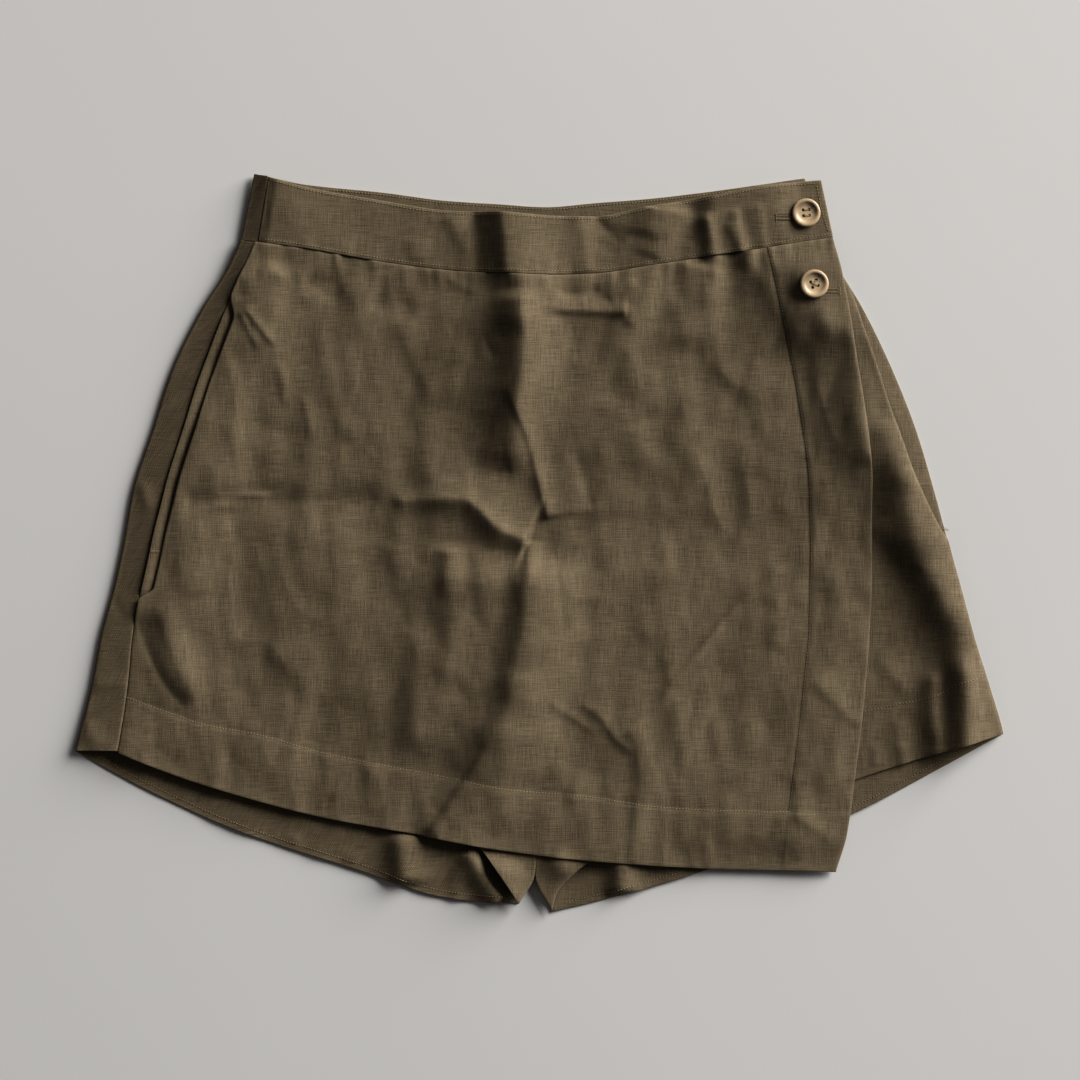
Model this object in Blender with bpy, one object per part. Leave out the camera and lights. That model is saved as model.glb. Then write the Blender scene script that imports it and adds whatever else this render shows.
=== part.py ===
"""A wrap-front skort laid flat: a pair of shorts with an overlapping skirt panel.

Sizes are in millimetres and become metres where a mesh is made. X runs across the laid
garment, Y from its hems up to its waist, and Z up from the surface that it lies on. The
origin is in the middle of the outline, on that surface.
"""

import math
from typing import NamedTuple

import bmesh
import bpy
import numpy as np

METRES = 0.001

# Cloth and how it is stacked.
CLOTH = 1.2  # wall of a panel
BAND_CLOTH = 1.5  # wall of a waistband, which is interfaced
POCKET_CLOTH = 1.0  # wall of a pocket facing
GAP = 0.3  # clearance between pieces that touch
PANEL_STEP = CLOTH + GAP
BAND_STEP = BAND_CLOTH + GAP
EASE = 0.4  # a little more clearance under the skirt panel, where it is loose

# Waist: where the bands end, along their top and along the seam under them.
WAIST_LEFT_TOP = -182.4
WAIST_LEFT_SEAM = -190.7
WRAP_RIGHT_TOP = 180.5
WRAP_RIGHT_SEAM = 188.2
SHORTS_RIGHT_TOP = 170.2
SHORTS_RIGHT_SEAM = 182.0
BAND_TURNOVER_TOP = 9.0  # how far the back band wraps over the left side
BAND_TURNOVER_SEAM = 11.0

# The four edges at the waist, from the left of the garment to its right.
# across: distance from the centre line; the others: height above the middle.
WAIST_EDGES = (
    # across, back_top, under_top, wrap_top, seam
    (-191.0, 237.0, 235.5, 237.5, 194.0),
    (-182.0, 236.0, 233.5, 236.2, 192.8),
    (-150.0, 229.6, 226.0, 227.8, 188.5),
    (-100.0, 224.5, 217.0, 219.1, 180.0),
    (-60.0, 219.3, 211.0, 213.0, 175.0),
    (-25.0, 217.0, 209.6, 211.6, 172.7),
    (5.0, 215.2, 207.6, 209.6, 171.7),
    (35.0, 217.7, 207.0, 209.0, 172.6),
    (70.0, 220.5, 214.0, 215.6, 177.5),
    (105.0, 224.5, 220.5, 221.1, 183.0),
    (145.0, 230.0, 229.6, 228.7, 188.8),
    (170.0, 233.6, 233.4, 231.4, 193.0),
    (190.0, 236.0, 235.0, 232.8, 196.0),
)

# Sides of the shorts, from the waist to the hem.
# level: height above the middle; left, right: where the outline lies;
# turnover: how far the back wraps over the left edge, to the side seam.
SIDE_EDGES = (
    # level, left, right, turnover
    (196.0, -190.3, 181.4, 10.2),
    (176.0, -199.4, 192.0, 10.3),
    (150.0, -216.0, 207.7, 15.5),
    (110.0, -235.5, 226.9, 19.5),
    (72.0, -247.8, 241.8, 19.6),
    (33.0, -260.5, 253.4, 20.4),
    (0.0, -266.4, 262.3, 18.2),
    (-30.0, -273.0, 270.4, 18.2),
    (-60.0, -281.0, 278.4, 21.0),
    (-90.0, -286.6, 288.0, 23.8),
    (-122.2, -294.6, 297.6, 27.2),
    (-133.0, -297.6, 299.5, 28.2),
)
LEFT_SEAM_TOP = 192.3  # where the side seam on the left meets the band
LEFT_CORNER_LEVEL = -133.0
RIGHT_CORNER_LEVEL = -122.2

# Free edge of the skirt panel, down the right of the garment.
WRAP_EDGE = (
    # level, across
    (196.0, 187.6),
    (176.0, 192.6),
    (146.0, 198.4),
    (122.0, 202.2),
    (67.0, 210.6),
    (38.0, 213.0),
    (-23.0, 213.0),
    (-65.0, 211.2),
    (-115.0, 206.7),
    (-151.0, 202.2),
    (-187.0, 197.0),
    (-210.6, 190.0),
)

WRAP_EDGE_TOP = 195.4

# Hems and the centre seam as the garment lies, from left to right or from top to bottom.
WRAP_HEM = (
    (-269.4, -134.2),
    (-250.9, -142.0),
    (-217.0, -154.2),
    (-140.0, -175.4),
    (-76.0, -186.9),
    (-30.0, -195.8),
    (34.0, -203.5),
    (110.7, -208.6),
    (190.0, -210.6),
)
BACK_LEFT_HEM = (
    (-297.6, -133.0),
    (-255.4, -156.2),
    (-191.4, -185.0),
    (-114.6, -210.0),
    (-63.4, -226.6),
    (-37.8, -229.8),
    (-12.8, -231.0),
)
BACK_RIGHT_HEM = (
    (8.3, -236.2),
    (26.2, -232.3),
    (77.4, -218.9),
    (110.0, -208.6),
    (198.4, -174.7),
    (256.6, -144.6),
    (297.6, -122.2),
)
FRONT_LEFT_HEM = (
    (-266.0, -114.6),
    (-217.0, -127.4),
    (-153.0, -144.0),
    (-89.0, -164.5),
    (-53.8, -181.0),
    (-37.0, -196.5),
    (-25.0, -212.5),
    (-12.8, -231.0),
)
FRONT_RIGHT_HEM = (
    (8.3, -236.2),
    (10.9, -225.3),
    (16.6, -217.6),
    (33.9, -203.5),
    (60.0, -196.0),
    (103.0, -186.9),
    (154.2, -170.9),
    (204.8, -151.0),
    (249.0, -136.6),
    (297.6, -122.2),
)
CENTRE_SEAM = (
    (0.6, 171.3),
    (0.6, -60.0),
    (0.6, -150.0),
    (-1.3, -201.0),
    (-2.7, -213.0),
)
LEFT_LEG_TIP = (-12.8, -231.0)
RIGHT_LEG_TIP = (8.3, -236.2)

# Pockets. The left one opens between the side seam and the skirt panel, the right one
# along the front of the shorts.
LEFT_MOUTH_TOP = 160.0
LEFT_MOUTH_BOTTOM = -36.0
LEFT_MOUTH_WIDTH = 8.0
MOUTH_RAMP = 18.0  # length over which a mouth opens
POCKET_REACH = 13.0  # how far a facing runs on under the cloth beside its mouth
POCKET_LIFT = 1.5  # how far that cloth is raised by it
POCKET_LIFT_MARGIN = 9.0  # the cloth stays raised this far past the facing's inner edge
POCKET_LIFT_FADE = 30.0  # and then comes down over this width
POCKET_END_MARGIN = 4.0  # the same two lengths above and below the facing
POCKET_END_FADE = 18.0
RIGHT_POCKET_EDGE = (
    # level, distance in from the outline
    (196.0, 2.0),
    (169.0, 1.5),
    (140.0, 6.0),
    (114.0, 9.0),
    (83.0, 11.5),
    (54.0, 11.0),
    (30.0, 8.0),
    (12.0, 4.0),
    (0.0, 0.3),
    (-122.2, 0.3),
)
RIGHT_FACING_TOP = 168.0
RIGHT_FACING_BOTTOM = 8.0

# Left side fold: the back turns over in a soft hairpin, and the layers beside it are
# raised to meet it.
TURN_STATIONS = 7
LEFT_LOFT = 1.8
LEFT_LOFT_REACH = 70.0

HEM_LIFT = 3.2  # how far the front of each leg stands off the back at its hem
HEM_LIFT_START = -130.0
HEM_LIFT_END = -200.0
HEM_LIFT_FADE = 40.0  # it starts this far in from the right side seam

# Buttons.
BUTTON_RADIUS = 9.1
BUTTON_THICKNESS = 3.0
BUTTON_PLACES = {
    "button_top": (170.9, 211.2),
    "button_bottom": (175.4, 165.1),
}
BUTTON_HOLE_RADIUS = 0.85
BUTTON_HOLE_OFFSET = 1.75
BUTTON_MARGIN = 3.0  # flat cloth round a button
BUTTON_FADE = 25.0  # width over which the folds begin past it
BUTTON_SIDES = 32
HOLE_SIDES = 10
BUTTON_TURN = {"button_top": 4.0, "button_bottom": 20.0}

CUTTER_OVERRUN = 1.0  # how far a hole's cutter stands out of the button
SEAT_SIDES = 16  # places round a button where the cloth's height is read

# Points of each panel: rows from its waist to its hem, columns across it.
BACK_LEFT_GRID = (15, 10)
BACK_RIGHT_GRID = (13, 12)
FRONT_LEFT_GRID = (17, 19)
FRONT_RIGHT_GRID = (19, 25)
WRAP_GRID = (34, 48)
POCKET_LEFT_GRID = (14, 3)
POCKET_RIGHT_GRID = (12, 4)
BAND_ROWS = 3
BACK_BAND_COLUMNS = 24
UNDER_BAND_COLUMNS = 36
WRAP_BAND_COLUMNS = 52
STRIP_STATIONS = 2  # points across the strip between the side fold and the side seam

LINEN_COLOUR = (0.115, 0.085, 0.048, 1.0)
LINEN_ROUGHNESS = 0.85
BUTTON_COLOUR = (0.62, 0.52, 0.38, 1.0)
BUTTON_ROUGHNESS = 0.35
SHARP_ANGLE = 50.0  # an edge that bends more than this stays crisp


class Fold(NamedTuple):
    """A long soft ridge along a path of (across, level) points, walked from its start."""

    path: tuple
    rise: float  # height of its crest
    left_hand: float  # half width on the walker's left hand
    right_hand: float
    fade_in: float = 0.0  # length over which it grows, 0 where it starts at full height
    fade_out: float = 0.0
    share: float = 0.0  # part of its height that the front of the shorts takes up below


# Folds of the skirt panel and of the band above it.
WRAP_FOLDS = {
    "centre": Fold(
        path=(
            (-22.0, 216.0),
            (-20.5, 171.0),
            (-10.9, 145.0),
            (-7.0, 104.0),
            (-3.8, 68.0),
            (6.4, 12.0),
        ),
        rise=10.0, left_hand=30.0, right_hand=20.0, fade_out=30.0, share=0.35,
    ),
    "lower": Fold(
        path=(
            (-7.0, 4.0),
            (-8.3, -36.0),
            (-15.4, -88.0),
            (-31.4, -120.0),
            (-50.6, -152.0),
            (-73.0, -192.0),
        ),
        rise=5.0, left_hand=30.0, right_hand=11.5, fade_in=16.0, share=0.1,
    ),
    "lower_broad": Fold(
        path=((-4.0, -8.0), (-11.0, -62.0), (-24.0, -113.0), (-43.0, -164.0)),
        rise=4.0, left_hand=32.0, right_hand=45.0, fade_in=20.0, fade_out=20.0,
    ),
    "hip_left": Fold(
        path=((-243.0, -28.0), (-236.0, -66.0), (-225.0, -92.0), (-208.0, -106.0)),
        rise=4.0, left_hand=22.0, right_hand=8.5, fade_in=25.0, fade_out=30.0,
    ),
    "gather_diagonal": Fold(
        path=(
            (93.0, 218.0),
            (82.0, 196.0),
            (73.0, 178.0),
            (66.0, 152.0),
            (56.0, 130.0),
            (46.0, 108.0),
        ),
        rise=3.0, left_hand=9.0, right_hand=18.0, fade_in=10.0, fade_out=45.0,
    ),
    "gather_right": Fold(
        path=((108.0, 200.0), (112.0, 172.0), (111.0, 143.0), (110.0, 118.0)),
        rise=2.6, left_hand=9.0, right_hand=8.0, fade_in=12.0, fade_out=45.0,
    ),
    "shelf": Fold(
        path=((-99.0, 31.0), (-76.0, 29.0), (-54.0, 26.0), (-38.0, 19.0), (-22.0, 10.0), (-5.0, 2.0)),
        rise=3.0, left_hand=18.0, right_hand=8.0, fade_in=16.0, fade_out=8.0,
    ),
    "low_middle": Fold(
        path=((8.0, -96.0), (32.0, -104.0), (52.0, -116.0), (66.0, -134.0)),
        rise=1.6, left_hand=22.0, right_hand=14.0, fade_in=25.0, fade_out=25.0,
    ),
}

# Folds of the right leg's front: beside the skirt panel's free edge, and at its inner tip.
LEG_FOLDS = {
    "right_leg": Fold(
        path=(
            (218.0, 79.0),
            (233.0, 40.0),
            (239.0, 15.0),
            (251.0, -11.0),
            (261.0, -37.0),
            (269.5, -62.0),
            (274.0, -94.0),
            (272.0, -134.0),
        ),
        rise=9.0, left_hand=14.0, right_hand=24.0, fade_in=65.0, share=1.0,
    ),
    "right_tip": Fold(
        path=((6.0, -196.0), (14.0, -206.0), (20.0, -216.0)),
        rise=1.5, left_hand=8.0, right_hand=8.0, fade_in=10.0, fade_out=10.0, share=1.0,
    ),
}
FOLD_STEPS = 33  # points along a fold's path
BAND_FOLDS = ("centre", "gather_diagonal")  # those that run up over the skirt panel's band

# Undersides of the layers where they lie flat.
FRONT_LOW = PANEL_STEP
WRAP_LOW = 2 * PANEL_STEP + EASE
UNDER_BAND_LOW = BAND_STEP
WRAP_BAND_LOW = 2 * BAND_STEP


# Curves ---------------------------------------------------------------------------------


def smooth_through(stations, values, at):
    """Values read from a smooth curve through the given ones, which never overshoots."""
    stations = np.asarray(stations, float)
    values = np.asarray(values, float)
    steps = np.diff(stations)
    slopes = np.diff(values) / steps
    tangents = np.concatenate([slopes[:1], np.zeros(len(slopes) - 1), slopes[-1:]])
    same_way = slopes[:-1] * slopes[1:] > 0
    safe = np.where(same_way, slopes[:-1] * slopes[1:], 1.0)
    mean = 2 * safe / np.where(same_way, slopes[:-1] + slopes[1:], 2.0)
    tangents[1:-1] = np.where(same_way, mean, 0.0)
    at = np.clip(np.asarray(at, float), stations[0], stations[-1])
    index = np.clip(np.searchsorted(stations, at) - 1, 0, len(steps) - 1)
    step = steps[index]
    part = (at - stations[index]) / step
    rest = 1 - part
    return (
        values[index] * (1 + 2 * part) * rest**2
        + values[index + 1] * (3 - 2 * part) * part**2
        + step * part * rest * (tangents[index] * rest - tangents[index + 1] * part)
    )


def column(table, number, at):
    """One column of a table, read smoothly at some value of its first column."""
    rows = sorted(table)
    return smooth_through([row[0] for row in rows], [row[number] for row in rows], at)


def along(points, fractions):
    """Points at fractions of the way along a smooth curve through the given points."""
    points = np.asarray(points, float)
    lengths = np.concatenate([[0.0], np.cumsum(np.hypot(*np.diff(points, axis=0).T))])
    at = np.asarray(fractions, float) * lengths[-1]
    return np.stack([smooth_through(lengths, points[:, axis], at) for axis in (0, 1)], axis=-1)


def ease(value):
    """Rises smoothly from 0 to 1 as the value goes from 0 to 1."""
    part = np.clip(value, 0.0, 1.0)
    return part * part * (3 - 2 * part)


def patch(top, bottom, left, right):
    """A grid of plan points between four edges. Rows run from top to bottom."""
    rows, columns = len(left), len(top)
    down = np.linspace(0, 1, rows)[:, None, None]
    over = np.linspace(0, 1, columns)[None, :, None]
    ruled = (1 - down) * top[None] + down * bottom[None]
    ruled = ruled + (1 - over) * left[:, None] + over * right[:, None]
    corners = (1 - down) * ((1 - over) * top[0] + over * top[-1])
    corners = corners + down * ((1 - over) * bottom[0] + over * bottom[-1])
    return ruled - corners


# Heights --------------------------------------------------------------------------------


def fold_height(fold, across, level):
    """How far one fold raises the cloth at each place."""
    line = along(fold.path, np.linspace(0, 1, FOLD_STEPS))
    starts, runs = line[:-1], np.diff(line, axis=0)
    lengths = np.hypot(*runs.T)
    before = np.concatenate([[0.0], np.cumsum(lengths)])
    place = np.stack([across, level], axis=-1)[..., None, :] - starts
    part = np.clip((place * runs).sum(-1) / lengths**2, 0, 1)
    off = place - part[..., None] * runs
    distance = np.hypot(off[..., 0], off[..., 1])
    nearest = distance.argmin(-1)[..., None]
    hand = runs[:, 0] * off[..., 1] - runs[:, 1] * off[..., 0]
    hand, distance, part = (
        np.take_along_axis(values, nearest, -1)[..., 0] for values in (hand, distance, part)
    )
    run = before[nearest[..., 0]] + part * lengths[nearest[..., 0]]
    width = np.where(hand > 0, fold.left_hand, fold.right_hand)
    height = fold.rise * np.exp(-((distance / width) ** 2))
    if fold.fade_in:
        height = height * ease(run / fold.fade_in)
    if fold.fade_out:
        height = height * ease((before[-1] - run) / fold.fade_out)
    return height


def left_outline(level):
    return column(SIDE_EDGES, 1, level)


def right_outline(level):
    return column(SIDE_EDGES, 2, level)


def left_seam(level):
    """The side seam on the left, where the turned-over back meets the skirt panel."""
    return left_outline(level) + column(SIDE_EDGES, 3, level)


def mouth(level):
    """How far the left pocket's mouth is open at each level."""
    opening = ease((LEFT_MOUTH_TOP - level) / MOUTH_RAMP)
    closing = ease((level - LEFT_MOUTH_BOTTOM) / MOUTH_RAMP)
    return LEFT_MOUTH_WIDTH * opening * closing


def wrap_left_edge(level):
    return left_seam(level) + GAP / 2 + mouth(level)


def wrap_free_edge(level):
    return column(WRAP_EDGE, 1, level)


def right_front_edge(level):
    """Where the front of the shorts ends on the right: at its pocket, then at the side."""
    return right_outline(level) - column(RIGHT_POCKET_EDGE, 1, level)


def lift_beside(distance, level, top, bottom):
    """Raises cloth over a pocket facing, and lets it down again past the facing's edge."""
    held = 1 - ease((distance - POCKET_REACH - POCKET_LIFT_MARGIN) / POCKET_LIFT_FADE)
    reach = POCKET_END_MARGIN + POCKET_END_FADE
    above = ease((top + reach - level) / POCKET_END_FADE)
    below = ease((level - bottom + reach) / POCKET_END_FADE)
    return POCKET_LIFT * held * above * below


def left_loft(distance):
    """How far the layers are raised at some distance in from their left edge."""
    return LEFT_LOFT * (1 - ease(distance / LEFT_LOFT_REACH))


def front_rise(across, level):
    """How far the front of the shorts stands above its flat place."""
    shared = [fold for fold in WRAP_FOLDS.values() if fold.share]
    rise = 0.0
    for fold in shared + list(LEG_FOLDS.values()):
        rise = rise + fold.share * fold_height(fold, across, level)
    rise = rise + left_loft(across - left_seam(level))
    inward = right_front_edge(level) - across
    lifted = ease((HEM_LIFT_START - level) / (HEM_LIFT_START - HEM_LIFT_END))
    rise = rise + HEM_LIFT * lifted * ease(inward / HEM_LIFT_FADE)
    return rise + lift_beside(inward, level, RIGHT_FACING_TOP, RIGHT_FACING_BOTTOM)


def button_calm(across, level):
    """Folds die out round the lower button, which lies flat on the skirt panel."""
    place = BUTTON_PLACES["button_bottom"]
    distance = np.hypot(across - place[0], level - place[1])
    return ease((distance - BUTTON_RADIUS - BUTTON_MARGIN) / BUTTON_FADE)


def wrap_rise(across, level):
    """How far the skirt panel stands above its flat place."""
    rise = front_rise(across, level)
    calm = button_calm(across, level)
    for fold in WRAP_FOLDS.values():
        rise = rise + (1 - fold.share) * calm * fold_height(fold, across, level)
    inward = across - left_seam(level) - mouth(level)
    return rise + lift_beside(inward, level, LEFT_MOUTH_TOP, LEFT_MOUTH_BOTTOM)


def under_band_rise(across, level):
    """The centre fold runs up from the panels over the bands."""
    fold = WRAP_FOLDS["centre"]
    loft = left_loft(across - WAIST_LEFT_TOP - BAND_TURNOVER_TOP)
    return loft + fold.share * fold_height(fold, across, level)


def wrap_band_rise(across, level):
    rise = left_loft(across - WAIST_LEFT_TOP - BAND_TURNOVER_TOP)
    for name in BAND_FOLDS:
        rise = rise + fold_height(WRAP_FOLDS[name], across, level)
    return rise


# Meshes ---------------------------------------------------------------------------------


def material(name, colour, roughness):
    made = bpy.data.materials.new(name)
    made.use_nodes = True
    shader = made.node_tree.nodes["Principled BSDF"]
    shader.inputs["Base Color"].default_value = colour
    shader.inputs["Roughness"].default_value = roughness
    shader.inputs["Metallic"].default_value = 0.0
    made.diffuse_color = colour
    return made


def place_mesh(name, points, faces, finish):
    """Makes a named object from points in millimetres, with its faces turned outwards."""
    mesh = bpy.data.meshes.new(name)
    mesh.from_pydata((np.asarray(points) * METRES).tolist(), [], [list(face) for face in faces])
    shape = bmesh.new()
    shape.from_mesh(mesh)
    bmesh.ops.recalc_face_normals(shape, faces=shape.faces)
    shape.to_mesh(mesh)
    shape.free()
    mesh.shade_smooth()
    mesh.set_sharp_from_angle(angle=math.radians(SHARP_ANGLE))
    mesh.materials.append(finish)
    made = bpy.data.objects.new(name, mesh)
    bpy.context.scene.collection.objects.link(made)
    return made


def wall(name, upper, lower, finish):
    """A closed wall between two grids of points with the same rows and columns."""
    rows, columns = upper.shape[:2]
    index = np.arange(rows * columns).reshape(rows, columns)
    under = rows * columns
    faces = []
    for row in range(rows - 1):
        for place in range(columns - 1):
            near, far = index[row, place], index[row + 1, place + 1]
            below, beside = index[row + 1, place], index[row, place + 1]
            for first, second, third in ((near, below, far), (near, far, beside)):
                faces.append((first, second, third))
                faces.append((under + first, under + third, under + second))
    rim = np.concatenate([index[0, :-1], index[:-1, -1], index[-1, :0:-1], index[:0:-1, 0]])
    for here, ahead in zip(rim, np.roll(rim, -1)):
        faces += [(here, ahead, under + ahead), (here, under + ahead, under + here)]
    points = np.concatenate([upper.reshape(-1, 3), lower.reshape(-1, 3)])
    return place_mesh(name, points, faces, finish)


def sheet(name, plan, low, thickness, finish):
    """A wall over a plan, from its underside's heights up by one thickness."""
    lower = np.dstack([plan, np.broadcast_to(low, plan.shape[:2])])
    return wall(name, lower + (0, 0, thickness), lower, finish)


def turn_depth(thickness, over_low):
    """How far in from the outline a hairpin begins, whose upper leg has this underside."""
    return (over_low + thickness) / 2


def turned_sheet(name, flat, outline, seam, thickness, over_low, finish):
    """A wall that lies flat, turns over in a hairpin at its left and ends at a seam."""
    radius = over_low / 2
    centre = outline[:, 0] + turn_depth(thickness, over_low)
    points, normals = [], []
    for place in range(flat.shape[1]):
        level = np.full(len(outline), thickness / 2)
        points.append(np.column_stack([flat[:, place], level]))
        normals.append((0.0, 0.0, -1.0))
    for turn in np.linspace(-90, -270, TURN_STATIONS)[1:]:
        tilt = math.radians(turn)
        level = np.full(len(outline), thickness / 2 + radius + radius * math.sin(tilt))
        points.append(np.column_stack([centre + radius * math.cos(tilt), outline[:, 1], level]))
        normals.append((math.cos(tilt), 0.0, math.sin(tilt)))
    for part in np.linspace(0, 1, STRIP_STATIONS + 1)[1:]:
        across = centre + part * (seam - centre)
        level = np.full(len(outline), over_low + thickness / 2)
        points.append(np.column_stack([across, outline[:, 1], level]))
        normals.append((0.0, 0.0, 1.0))
    middle = np.stack(points, axis=1)
    offset = np.array(normals)[None] * thickness / 2
    return wall(name, middle + offset, middle - offset, finish)


# Panels ---------------------------------------------------------------------------------


def seam_level(across):
    """The seam under the bands."""
    return column(WAIST_EDGES, 4, across)


def seam_points(left, right, count):
    across = np.linspace(left, right, count)
    return np.column_stack([across, seam_level(across) - GAP])


def edge_points(edge, top, bottom, count):
    """Points down an edge that is given as a function of the level."""
    levels = np.linspace(top, bottom, count)
    return np.column_stack([edge(levels), levels])


def centre_points(tip, count, shift):
    """Down the centre seam and on down the inner edge of one leg."""
    return along(CENTRE_SEAM + (tip,), np.linspace(0, 1, count)) + (shift, 0.0)


def fit_corners(top, bottom, left, right):
    """Makes four edges meet exactly: the corners are those of the side edges."""
    top[0], top[-1] = left[0], right[0]
    bottom[0], bottom[-1] = left[-1], right[-1]
    return patch(top, bottom, left, right)


def build_back_left(finish):
    rows, columns = BACK_LEFT_GRID
    over_low = WRAP_LOW + LEFT_LOFT
    top = seam_level(WAIST_LEFT_SEAM) - GAP
    outline = edge_points(left_outline, top, LEFT_CORNER_LEVEL, rows)
    flat_end = outline + (turn_depth(CLOTH, over_low), 0.0)
    inner = centre_points(LEFT_LEG_TIP, rows, -GAP / 2)
    waist = seam_points(flat_end[0, 0], inner[0, 0], columns)
    hem = along(BACK_LEFT_HEM, np.linspace(0, 1, columns))
    flat = fit_corners(waist, hem, flat_end, inner)[:, ::-1]
    seam = left_seam(outline[:, 1]) - GAP / 2
    return turned_sheet("back_left", flat, outline, seam, CLOTH, over_low, finish)


def build_back_right(finish):
    rows, columns = BACK_RIGHT_GRID
    top = seam_level(SHORTS_RIGHT_SEAM) - GAP
    outer = edge_points(right_outline, top, RIGHT_CORNER_LEVEL, rows)
    inner = centre_points(RIGHT_LEG_TIP, rows, GAP / 2)
    waist = seam_points(inner[0, 0], outer[0, 0], columns)
    hem = along(BACK_RIGHT_HEM, np.linspace(0, 1, columns))
    return sheet("back_right", fit_corners(waist, hem, inner, outer), 0.0, CLOTH, finish)


def build_front_left(finish):
    rows, columns = FRONT_LEFT_GRID
    left = edge_points(left_seam, LEFT_SEAM_TOP, FRONT_LEFT_HEM[0][1], rows) + (GAP / 2, 0.0)
    inner = centre_points(LEFT_LEG_TIP, rows, -GAP / 2)
    waist = seam_points(left[0, 0], inner[0, 0], columns)
    hem = along(FRONT_LEFT_HEM, np.linspace(0, 1, columns))
    plan = fit_corners(waist, hem, left, inner)
    low = FRONT_LOW + front_rise(plan[..., 0], plan[..., 1])
    return sheet("front_left", plan, low, CLOTH, finish)


def build_front_right(finish):
    rows, columns = FRONT_RIGHT_GRID
    top = seam_level(SHORTS_RIGHT_SEAM) - GAP
    outer = edge_points(right_front_edge, top, RIGHT_CORNER_LEVEL, rows)
    inner = centre_points(RIGHT_LEG_TIP, rows, GAP / 2)
    waist = seam_points(inner[0, 0], outer[0, 0], columns)
    hem = along(FRONT_RIGHT_HEM, np.linspace(0, 1, columns))
    plan = fit_corners(waist, hem, inner, outer)
    low = FRONT_LOW + front_rise(plan[..., 0], plan[..., 1])
    return sheet("front_right", plan, low, CLOTH, finish)


def build_wrap_panel(finish):
    rows, columns = WRAP_GRID
    left = edge_points(wrap_left_edge, LEFT_SEAM_TOP, WRAP_HEM[0][1], rows)
    free = edge_points(wrap_free_edge, WRAP_EDGE_TOP, WRAP_HEM[-1][1], rows)
    waist = seam_points(left[0, 0], free[0, 0], columns)
    hem = along(WRAP_HEM, np.linspace(0, 1, columns))
    plan = fit_corners(waist, hem, left, free)
    low = WRAP_LOW + wrap_rise(plan[..., 0], plan[..., 1])
    return sheet("wrap_panel", plan, low, CLOTH, finish)


def band_plan(top_ends, seam_ends, top_column, count):
    """Plan of a band, as three rows of points from its top edge down to its seam."""
    part = np.linspace(0, 1, count)
    rows = []
    for down in np.linspace(0, 1, BAND_ROWS):
        upper = top_ends[0] + (top_ends[1] - top_ends[0]) * part
        lower = seam_ends[0] + (seam_ends[1] - seam_ends[0]) * part
        top_level = column(WAIST_EDGES, top_column, upper)
        level = top_level + down * (seam_level(lower) - top_level)
        rows.append(np.column_stack([upper + down * (lower - upper), level]))
    return np.stack(rows)


def build_waistband_back(finish):
    over_low = WRAP_BAND_LOW + LEFT_LOFT
    top_ends = (WAIST_LEFT_TOP, SHORTS_RIGHT_TOP)
    seam_ends = (WAIST_LEFT_SEAM, SHORTS_RIGHT_SEAM)
    plan = band_plan(top_ends, seam_ends, 1, BACK_BAND_COLUMNS)
    outline = plan[:, 0].copy()
    plan[:, 0, 0] += turn_depth(BAND_CLOTH, over_low)
    turnover = np.linspace(BAND_TURNOVER_TOP, BAND_TURNOVER_SEAM, BAND_ROWS)
    seam = outline[:, 0] + turnover - GAP / 2
    flat = plan[:, ::-1]
    return turned_sheet("waistband_back", flat, outline, seam, BAND_CLOTH, over_low, finish)


def front_band_plan(top_right, seam_right, top_column, count):
    """Plan of a band that starts on the left where the back band's turned end stops."""
    top_left = WAIST_LEFT_TOP + BAND_TURNOVER_TOP + GAP / 2
    seam_left = WAIST_LEFT_SEAM + BAND_TURNOVER_SEAM + GAP / 2
    return band_plan((top_left, top_right), (seam_left, seam_right), top_column, count)


def build_waistband_under(finish):
    plan = front_band_plan(SHORTS_RIGHT_TOP, SHORTS_RIGHT_SEAM, 2, UNDER_BAND_COLUMNS)
    low = UNDER_BAND_LOW + under_band_rise(plan[..., 0], plan[..., 1])
    return sheet("waistband_under", plan, low, BAND_CLOTH, finish)


def build_waistband_wrap(finish):
    plan = front_band_plan(WRAP_RIGHT_TOP, WRAP_RIGHT_SEAM, 3, WRAP_BAND_COLUMNS)
    low = WRAP_BAND_LOW + wrap_band_rise(plan[..., 0], plan[..., 1])
    return sheet("waistband_wrap", plan, low, BAND_CLOTH, finish)


def build_pocket_left(finish):
    rows, columns = POCKET_LEFT_GRID
    levels = np.linspace(LEFT_MOUTH_TOP, LEFT_MOUTH_BOTTOM, rows)
    outer = left_seam(levels) + GAP
    reach = np.linspace(0, 1, columns)[None] * (mouth(levels) + POCKET_REACH)[:, None]
    plan = np.dstack([outer[:, None] + reach, np.broadcast_to(levels[:, None], reach.shape)])
    low = FRONT_LOW + PANEL_STEP + front_rise(plan[..., 0], plan[..., 1])
    return sheet("pocket_left", plan, low, POCKET_CLOTH, finish)


def build_pocket_right(finish):
    rows, columns = POCKET_RIGHT_GRID
    levels = np.linspace(RIGHT_FACING_TOP, RIGHT_FACING_BOTTOM, rows)
    outer = right_outline(levels) - GAP
    inner = right_front_edge(levels) - POCKET_REACH
    part = np.linspace(0, 1, columns)[None]
    across = inner[:, None] + part * (outer - inner)[:, None]
    plan = np.dstack([across, np.broadcast_to(levels[:, None], across.shape)])
    return sheet("pocket_right", plan, PANEL_STEP, POCKET_CLOTH, finish)


# Buttons --------------------------------------------------------------------------------

# Half section of a button, from the middle of its face out over the rim and back under it.
BUTTON_SECTION = (
    # radius, height, as shares of the button's radius and of its thickness
    (0.42, 0.66),
    (0.60, 0.72),
    (0.74, 0.94),
    (0.84, 1.00),
    (0.94, 0.92),
    (1.00, 0.60),
    (0.94, 0.22),
    (0.70, 0.00),
)


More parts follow.
